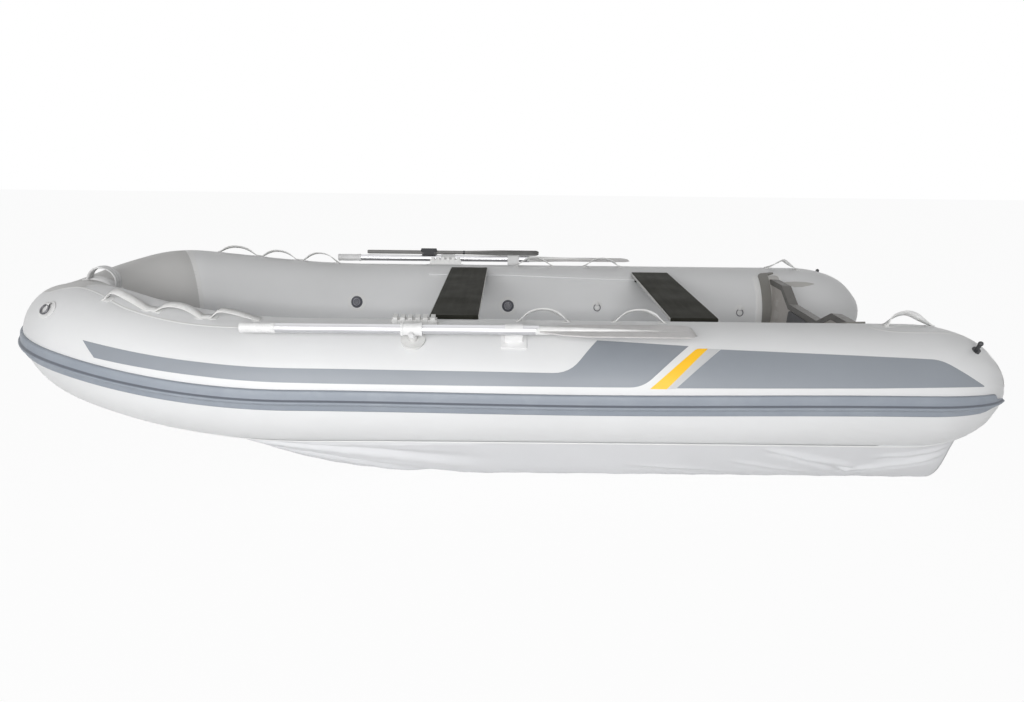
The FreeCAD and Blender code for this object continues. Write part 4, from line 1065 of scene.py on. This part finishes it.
# Places of the drawn sections along the blade, its rib and the paddle
BLADE_PLACES = (-0.208, -0.293, -0.378, -0.5515, -0.725, -0.741, -0.757)
BLADE_HALF = (0.0, 0.2, 0.42, 0.48, 0.54, 0.60, 0.80, 0.93, 0.985, 1.0)
RIB = (
    (-0.196, 0.0186), (-0.235, 0.0182), (-0.30, 0.0150), (-0.62, 0.0080), (-0.69, 0.0058), (-0.705, 0.0030),
)
RIB_PLACES = (-0.196, -0.4505, -0.705)
GRIP = (
    (0.722, 0.0176), (0.728, 0.0196), (0.734, 0.0198), (0.738, 0.0178), (0.76, 0.0176), (0.79, 0.0186),
    (0.82, 0.0178), (0.834, 0.0180), (0.840, 0.0194), (0.846, 0.0190), (0.849, 0.0170), (0.850, 0.0120),
)
# Spare paddle: (x, half width, half thickness)
PADDLE = (
    (0.690, 0.0090, 0.0090), (0.680, 0.0104, 0.0104), (0.153, 0.0100, 0.0100), (0.110, 0.0120, 0.0086),
    (0.033, 0.0300, 0.0052), (-0.02, 0.0330, 0.0034), (-0.240, 0.0330, 0.0030), (-0.254, 0.0290, 0.0026),
    (-0.260, 0.0190, 0.0012),
)
PADDLE_PLACES = (0.690, 0.6875, 0.684, 0.680, 0.4165, 0.153, -0.0435, -0.24, -0.25, -0.26)


def oar_frames(places, height, side, rolled=False):
    flip = Vector((1, side, 1))
    middle = Vector((0, HALF, AXIS_Z)) + OAR_OUT * (TUBE_R + height)
    across, up = (ROLL_SIDE, ROLL_OUT) if rolled else (OAR_SIDE, OAR_OUT)
    return [((middle + Vector((x, 0, 0))) * flip, across * flip, up * flip) for x in places]


def blade(side, word):
    loops = []
    for x in BLADE_PLACES:
        w = between(BLADE, x)
        ends = eased((x + 0.757) / 0.04) * 0.7 + 0.3
        ribs = eased((-0.30 - x) / 0.04) * eased((x + 0.73) / 0.03)
        top, low = [], []
        for u in [-u for u in BLADE_HALF[:0:-1]] + list(BLADE_HALF):
            edge = 0.0028 * ends * math.sqrt(max(0.0, 1 - abs(u) ** 8))
            rim = 0.0012 * ridge(abs(u) - 0.93, 0.04) * ends
            top.append((u * w, edge + 0.0018 * ribs * ridge(abs(u) - 0.51, 0.05) + rim))
            low.append((u * w, -edge - rim))
        loops.append(top + low[-2:0:-1])
    swept(word + "_blade_moulding", blade_plastic, oar_frames(BLADE_PLACES, OAR_HEIGHT, side, True), loops,
          body=word + "_oar", replaces=[word + "_oar_blade"])
    loops = [round_loop(between(RIB, x), 16, between(RIB, x) * 0.86) for x in RIB_PLACES]
    swept(word + "_blade_rib", rib_plastic, oar_frames(RIB_PLACES, OAR_HEIGHT, side, True), loops,
          body=word + "_oar")


def grip(side, word):
    places = stations(0.722, (0.738, 0.002), (0.834, 0.002), (0.850, 0.001))
    loops = []
    for x in places:
        ring = 0.0007 * math.sin(2 * math.pi * x / 0.008) if 0.742 < x < 0.832 else 0.0
        loops.append(round_loop(between(GRIP, x) + ring, 24))
    swept(word + "_grip_moulding", white_plastic, oar_frames(places, OAR_HEIGHT, side), loops,
          body=word + "_oar", replaces=[word + "_oar_grip"])


for side, word in SIDES:
    blade(side, word)
    grip(side, word)


def paddle():
    loops = []
    for x in PADDLE_PLACES:
        w = between([(p[0], p[1]) for p in PADDLE], x)
        d = between([(p[0], p[2]) for p in PADDLE], x)
        flat = eased((w - 0.011) / 0.016)
        loop = []
        for a in turns(24):
            c, s = math.cos(a), math.sin(a)
            square = abs(c) ** (1 - 0.55 * flat) * (1 if c > 0 else -1)
            loop.append((w * square, d * s * (1 + 0.5 * flat * ridge(abs(c) - 0.12, 0.12))))
        loops.append(loop)
    swept("spare_paddle_moulding", paddle_plastic, oar_frames(PADDLE_PLACES, PADDLE_HEIGHT, -1), loops,
          body="starboard_oar", replaces=["spare_paddle"])
    band = ((0.150, 0.0102), (0.151, 0.0112), (0.159, 0.0112), (0.160, 0.0102))
    swept("paddle_end_bands", dark_plastic, oar_frames([x for x, r in band], PADDLE_HEIGHT, -1),
          [round_loop(r, 20) for x, r in band], body="starboard_oar")


paddle()


# ---------- rails, rings, flanges and patches ----------
RAIL_REAR, RAIL_FRONT, RAIL_END = -0.951, 0.321, 0.03
RAIL_SPAN = 7.6
# Where the rail's lower edge leaves one angle and reaches the next: (x, degrees)
RAIL_BENDS = ((-0.639, 119.4), (-0.076, 113.5))
# Section of the rail: (share of its width, height)
RAIL = (
    (0.0, 0.0004), (0.03, 0.0060), (0.08, 0.0070), (0.3, 0.0064), (0.5, 0.0058), (0.7, 0.0064),
    (0.92, 0.0070), (0.97, 0.0060), (1.0, 0.0004),
)


def rail(side, word):
    """The seat rail: a low ribbed strip with round ends that follows the seats' height."""
    stretches = ((RAIL_REAR + RAIL_END, 0.003), (RAIL_FRONT - RAIL_END, 0.03), (RAIL_FRONT, 0.003))
    places = stations(RAIL_REAR, *stretches)
    (x0, angle0), (x1, angle1) = RAIL_BENDS
    rows = []
    for x in places:
        share = min(max((x - x0) / (x1 - x0), 0.0), 1.0)
        middle = angle0 + (angle1 - angle0) * share + RAIL_SPAN / 2
        near = min(x - RAIL_REAR, RAIL_FRONT - x)
        pinch = 1 - math.sqrt(max(0.0, 1 - max(0.0, 1 - near / 0.018) ** 2))
        half = RAIL_SPAN / 2 * (1 - 0.8 * pinch)
        rows.append([on_tube(x, middle + half * (2 * u - 1), h * (1 - 0.6 * pinch), side) for u, h in RAIL])
    shell(word + "_rail_moulding", skin, rows, lambda i, j: (places[i], RAIL[j][0] * 0.041), caps=(0, -1),
          replaces=[word + "_seat_rail"])


def ring_on_tube(bm, place, radius, wire, height, side, drop):
    """A wire ring that lies along the skin; drop moves its middle round the tube, in metres."""
    along, angle = place
    rows = []
    for a in turns(40):
        row = []
        for b in turns(12):
            reach = radius + wire * math.cos(b)
            row.append(on_tube(along + reach * math.cos(a), angle + (drop + reach * math.sin(a)) / DEGREE,
                               height + wire * math.sin(b), side))
        rows.append(row)
    grid(bm, rows + rows[:1], lambda i, j: (i * 0.003, j * 0.002), True)


def ring_strap(bm, place, side, first, last, width, height):
    """A short webbing loop that holds a ring; first and last are measured round the tube."""
    along, angle = place
    rows = []
    for i in range(13):
        share = i / 12
        lift = 0.0026 + height * math.sin(math.pi * share) ** 0.7
        spot = angle + (first + (last - first) * share) / DEGREE
        rows.append([
            on_tube(along + u * width / 2, spot, lift - (0.0012 if abs(u) == 1.0 else 0.0), side)
            for u in (-1.0, -0.94, 0.0, 0.94, 1.0)
        ])
    grid(bm, rows, lambda i, j: (i * 0.002, (j - 2) * width / 4))


def rings(side, word):
    bm = bmesh.new()
    for place in EYES:
        ring_on_tube(bm, place, 0.0165, 0.0022, 0.0058, side, 0.0135)
    piece(word + "_eye_rings", bm, dull_steel, replaces=[word + "_inner_eyes"])
    bm = bmesh.new()
    ring_on_tube(bm, TOW, 0.0190, 0.0034, 0.0082, side, -0.004)
    piece(word + "_tow_ring_wire", bm, dull_steel, replaces=[word + "_tow_ring"])
    bm = bmesh.new()
    for place in EYES:
        ring_strap(bm, place, side, -0.012, 0.006, 0.018, 0.0072)
    ring_strap(bm, TOW, side, 0.008, 0.030, 0.024, 0.0100)
    piece(word + "_ring_straps", bm, tape)


STERN_FLAP = (
    (-1.511, 128.5), (-1.535, 126.9), (-1.580, 126.2), (-1.630, 126.7), (-1.665, 127.8), (-1.681, 128.9),
    (-1.655, 131.6), (-1.610, 134.4), (-1.570, 134.8), (-1.530, 131.6),
)
# Sheets beside the transom: name, outline, look, height, thickness, step in degrees
SHEETS = (
    ("_transom_band", rounded([
        (-1.394, 213.5, 0.01), (-1.394, 116.0, 0.026), (-1.412, 112.6, 0.01), (-1.478, 109.8, 0.008),
        (-1.480, 111.8, 0.004), (-1.444, 116.0, 0.01), (-1.440, 213.5, 0.0),
    ]), flange, 0.0088, 0.0084, 4.0),
    ("_transom_apron", rounded([
        (-1.363, 212.5, 0.012), (-1.363, 118.0, 0.03), (-1.394, 115.0, 0), (-1.394, 212.5, 0),
    ]), tape, 0.0030, 0.0026, 4.0),
    ("_transom_lap", rounded([
        (-1.440, 212.5, 0), (-1.440, 116.5, 0), (-1.498, 116.5, 0.02), (-1.498, 212.5, 0.012),
    ]), patch_cloth, 0.0070, 0.0066, 4.0),
    ("_stern_light_patch", rounded([
        (-1.500, 110.0, 0.01), (-1.456, 111.2, 0.008), (-1.452, 113.0, 0), (-1.500, 126.0, 0.01),
        (-1.520, 124.0, 0.01),
    ]), tape, 0.0016, 0.0014, 4.0),
    ("_stern_flap", STERN_FLAP, patch_cloth, 0.0024, 0.002, 3.0),
)

for side, word in SIDES:
    rail(side, word)
    for tail, outline, look, proud, thick, step in SHEETS:
        sheet = applique(word + tail, outline, look, side, proud, thick, step_angle=step)
        if look is flange:
            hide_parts(word + "_transom_flange")
    for i, place in enumerate(EYES):
        applique(f"{word}_eye_patch_{i}", ellipse(*place, 0.050, 0.050, 36), tape, side, 0.0024, 0.002)
    applique(word + "_tow_patch", ellipse(*TOW, 0.084, 0.078, 40), tape, side, 0.0030, 0.0024)
    rings(side, word)
    rest = rounded([(0.150, 66.0, 0.02), (0.345, 66.0, 0.02), (0.345, 92.0, 0.02), (0.150, 92.0, 0.02)])
    applique(word + "_rest_patch", rest, tape, side, 0.0010, step_along=0.03)


# ---------- blank plates on the transom, and the seats' edgings ----------
def rounded_plate(bm, corner, across, up, thick):
    """A flat plate with rounded corners; corner, across, up and thick are vectors."""
    radius = 0.004
    over, high = across.normalized() * radius, up.normalized() * radius
    loop = []
    for sx, sy, start in ((0, 0, 180), (1, 0, 270), (1, 1, 0), (0, 1, 90)):
        middle = corner + across * sx + up * sy + over * (1 - 2 * sx) + high * (1 - 2 * sy)
        for k in range(5):
            a = math.radians(start + 90 * k / 4)
            loop.append(middle + over * math.cos(a) + high * math.sin(a))
    grid(bm, [loop, [p + thick for p in loop]], lambda i, j: (j * 0.01, i * 0.01), True, (0, -1))


def on_transom(y, z):
    """A point on the transom's forward face."""
    rise = z - BOTTOM_TOP
    return Vector((-1.425 - rise * math.sin(RAKE), y, BOTTOM_TOP + rise * math.cos(RAKE)))


bm = bmesh.new()
for y0, y1, z0, z1 in ((-0.350, -0.318, 0.506, 0.538), (-0.348, -0.286, 0.448, 0.484)):
    foot = on_transom(y0, z0)
    rounded_plate(bm, foot, on_transom(y1, z0) - foot, on_transom(y0, z1) - foot,
                  Vector((math.cos(RAKE), 0, math.sin(RAKE))) * 0.0012)
piece("transom_blank_plates", bm, plate_plastic, smooth=False)


def edging(name, x, way, half, z0, z1):
    """A thin metal edging with a bead, along a seat's side."""
    loop = (
        (0, z0), (0, z1), (0.0016, z1 - 0.0002), (0.0026, z1 - 0.002), (0.0020, (z0 + z1) / 2),
        (0.0026, z0 + 0.002), (0.0016, z0 + 0.0002),
    )
    rows = [[Vector((x + a * way, y, b)) for a, b in loop] for y in stations(-half, (half, 0.05))]
    shell(name, edge_metal, rows, lambda i, j: (i * 0.05, j * 0.003), True, (0, -1), smooth=False)


# Seats: middle, half length, top
for name, middle, half, top in (("front_seat", 0.111, 0.543, 0.6515), ("rear_seat", -0.826, 0.505, 0.640)):
    for i, way in enumerate((1, -1)):
        edging(f"{name}_edging_{i}", middle + way * 0.0935, way, half - 0.002, top - 0.0145, top - 0.0015)


# ---------- looks of the solids that keep their shape ----------
LOOKS = (
    (seat_top, 0, "front_seat rear_seat"),
    (transom_panel, 0.003, "transom_board"),
    (trim_plastic, 0.0015, "transom_edge_trim"),
    (pad, 0.002, "outer_motor_pad inner_motor_pad"),
    (aluminium, 0.001, "floor_joint_bars"),
    (aluminium, 0, "port_floor_stringer starboard_floor_stringer port_oar_shaft starboard_oar_shaft"),
    (deck_metal, 0, "floor_panel_stern floor_panel_middle floor_panel_fore floor_panel_bow"),
    (dark_plastic, 0.0012, "paddle_clip"),
    (dark_plastic, 0.001, "transom_drain_plug"),
    (dark_plastic, 0, "port_stern_pin starboard_stern_pin"),
    (steel, 0, "port_tow_ring starboard_tow_ring port_inner_eyes starboard_inner_eyes"),
    (white_plastic, 0.0012, "port_rowlock starboard_rowlock port_oar_clip starboard_oar_clip"),
    (pale_plastic, 0.0015, "port_rowlock_base starboard_rowlock_base"),
)
look_of = {name: (look, edge) for look, edge, names in LOOKS for name in names.split()}
for name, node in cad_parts.items():
    look, edge = look_of.get(name, (white_plastic, 0))
    node.data.materials.clear()
    node.data.materials.append(look.material)
    if edge:
        bevel(node, edge)


# ---------- floor, backdrop, light and camera ----------
scene = bpy.context.scene
scene.view_settings.view_transform = "Standard"

floor_look = Look("studio_white", (0.80, 0.80, 0.80), 0.9)
glow = floor_look.node("ShaderNodeEmission")
mix = floor_look.node("ShaderNodeMixShader", {
    0: floor_look.seen() * FLOOR_GLOW,
    1: Value(floor_look, floor_look.shader.outputs[0]),
    2: Value(floor_look, glow.outputs[0]),
})
floor_look.tree.links.new(mix.outputs[0], floor_look.tree.nodes["Material Output"].inputs[0])
floor_bm = bmesh.new()
bmesh.ops.create_grid(floor_bm, x_segments=1, y_segments=1, size=FLOOR_SIZE)
floor_mesh = bpy.data.meshes.new("studio_floor")
floor_bm.to_mesh(floor_mesh)
floor_bm.free()
floor = bpy.data.objects.new("studio_floor", floor_mesh)
scene.collection.objects.link(floor)
floor_mesh.materials.append(floor_look.material)
floor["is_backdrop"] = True

world = bpy.data.worlds.new("studio_sky")
world.use_nodes = True
scene.world = world
sky = Tree(world.node_tree)
sky_inputs = sky.tree.nodes["Background"].inputs
sky_inputs[0].default_value = (1, 1, 1, 1)
brightness = sky.math("MULTIPLY_ADD", sky.seen(), 1.0 - SKY_LEVEL, SKY_LEVEL)
sky.tree.links.new(brightness.socket, sky_inputs[1])


def lamp(name, place, target, size, power):
    data = bpy.data.lights.new(name, "AREA")
    data.shape = "RECTANGLE"
    data.size, data.size_y = size
    data.energy = power
    obj = bpy.data.objects.new(name, data)
    scene.collection.objects.link(obj)
    aim = Vector(target) - Vector(place)
    obj.matrix_world = Matrix.Translation(place) @ aim.to_track_quat("-Z", "Y").to_matrix().to_4x4()


lamp("front_softbox", (1.0, 6.0, 1.9), (0, 0, 0.4), (6.0, 2.2), 292)
lamp("low_softbox", (0.0, 5.0, 0.45), (0, 0, 0.3), (6.0, 0.7), 10)
lamp("top_softbox", (0.0, -1.0, 4.5), (0, 0, 0.4), (5.0, 3.0), 10)

ahead = Vector((math.sin(YAW) * math.cos(PITCH), -math.cos(YAW) * math.cos(PITCH), -math.sin(PITCH)))
right = ahead.cross(Vector((0, 0, 1))).normalized()
up = right.cross(ahead)
right, up = right * math.cos(ROLL) + up * math.sin(ROLL), up * math.cos(ROLL) - right * math.sin(ROLL)
camera_data = bpy.data.cameras.new("photo_camera")
camera_data.sensor_width = SENSOR
camera_data.lens = SENSOR * FOCAL_PIXELS / PHOTO_WIDTH
camera = bpy.data.objects.new("photo_camera", camera_data)
scene.collection.objects.link(camera)
camera.matrix_world = Matrix((
    (right.x, up.x, -ahead.x, CAMERA_PLACE.x),
    (right.y, up.y, -ahead.y, CAMERA_PLACE.y),
    (right.z, up.z, -ahead.z, CAMERA_PLACE.z),
    (0, 0, 0, 1),
))
scene.camera = camera

low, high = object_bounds()
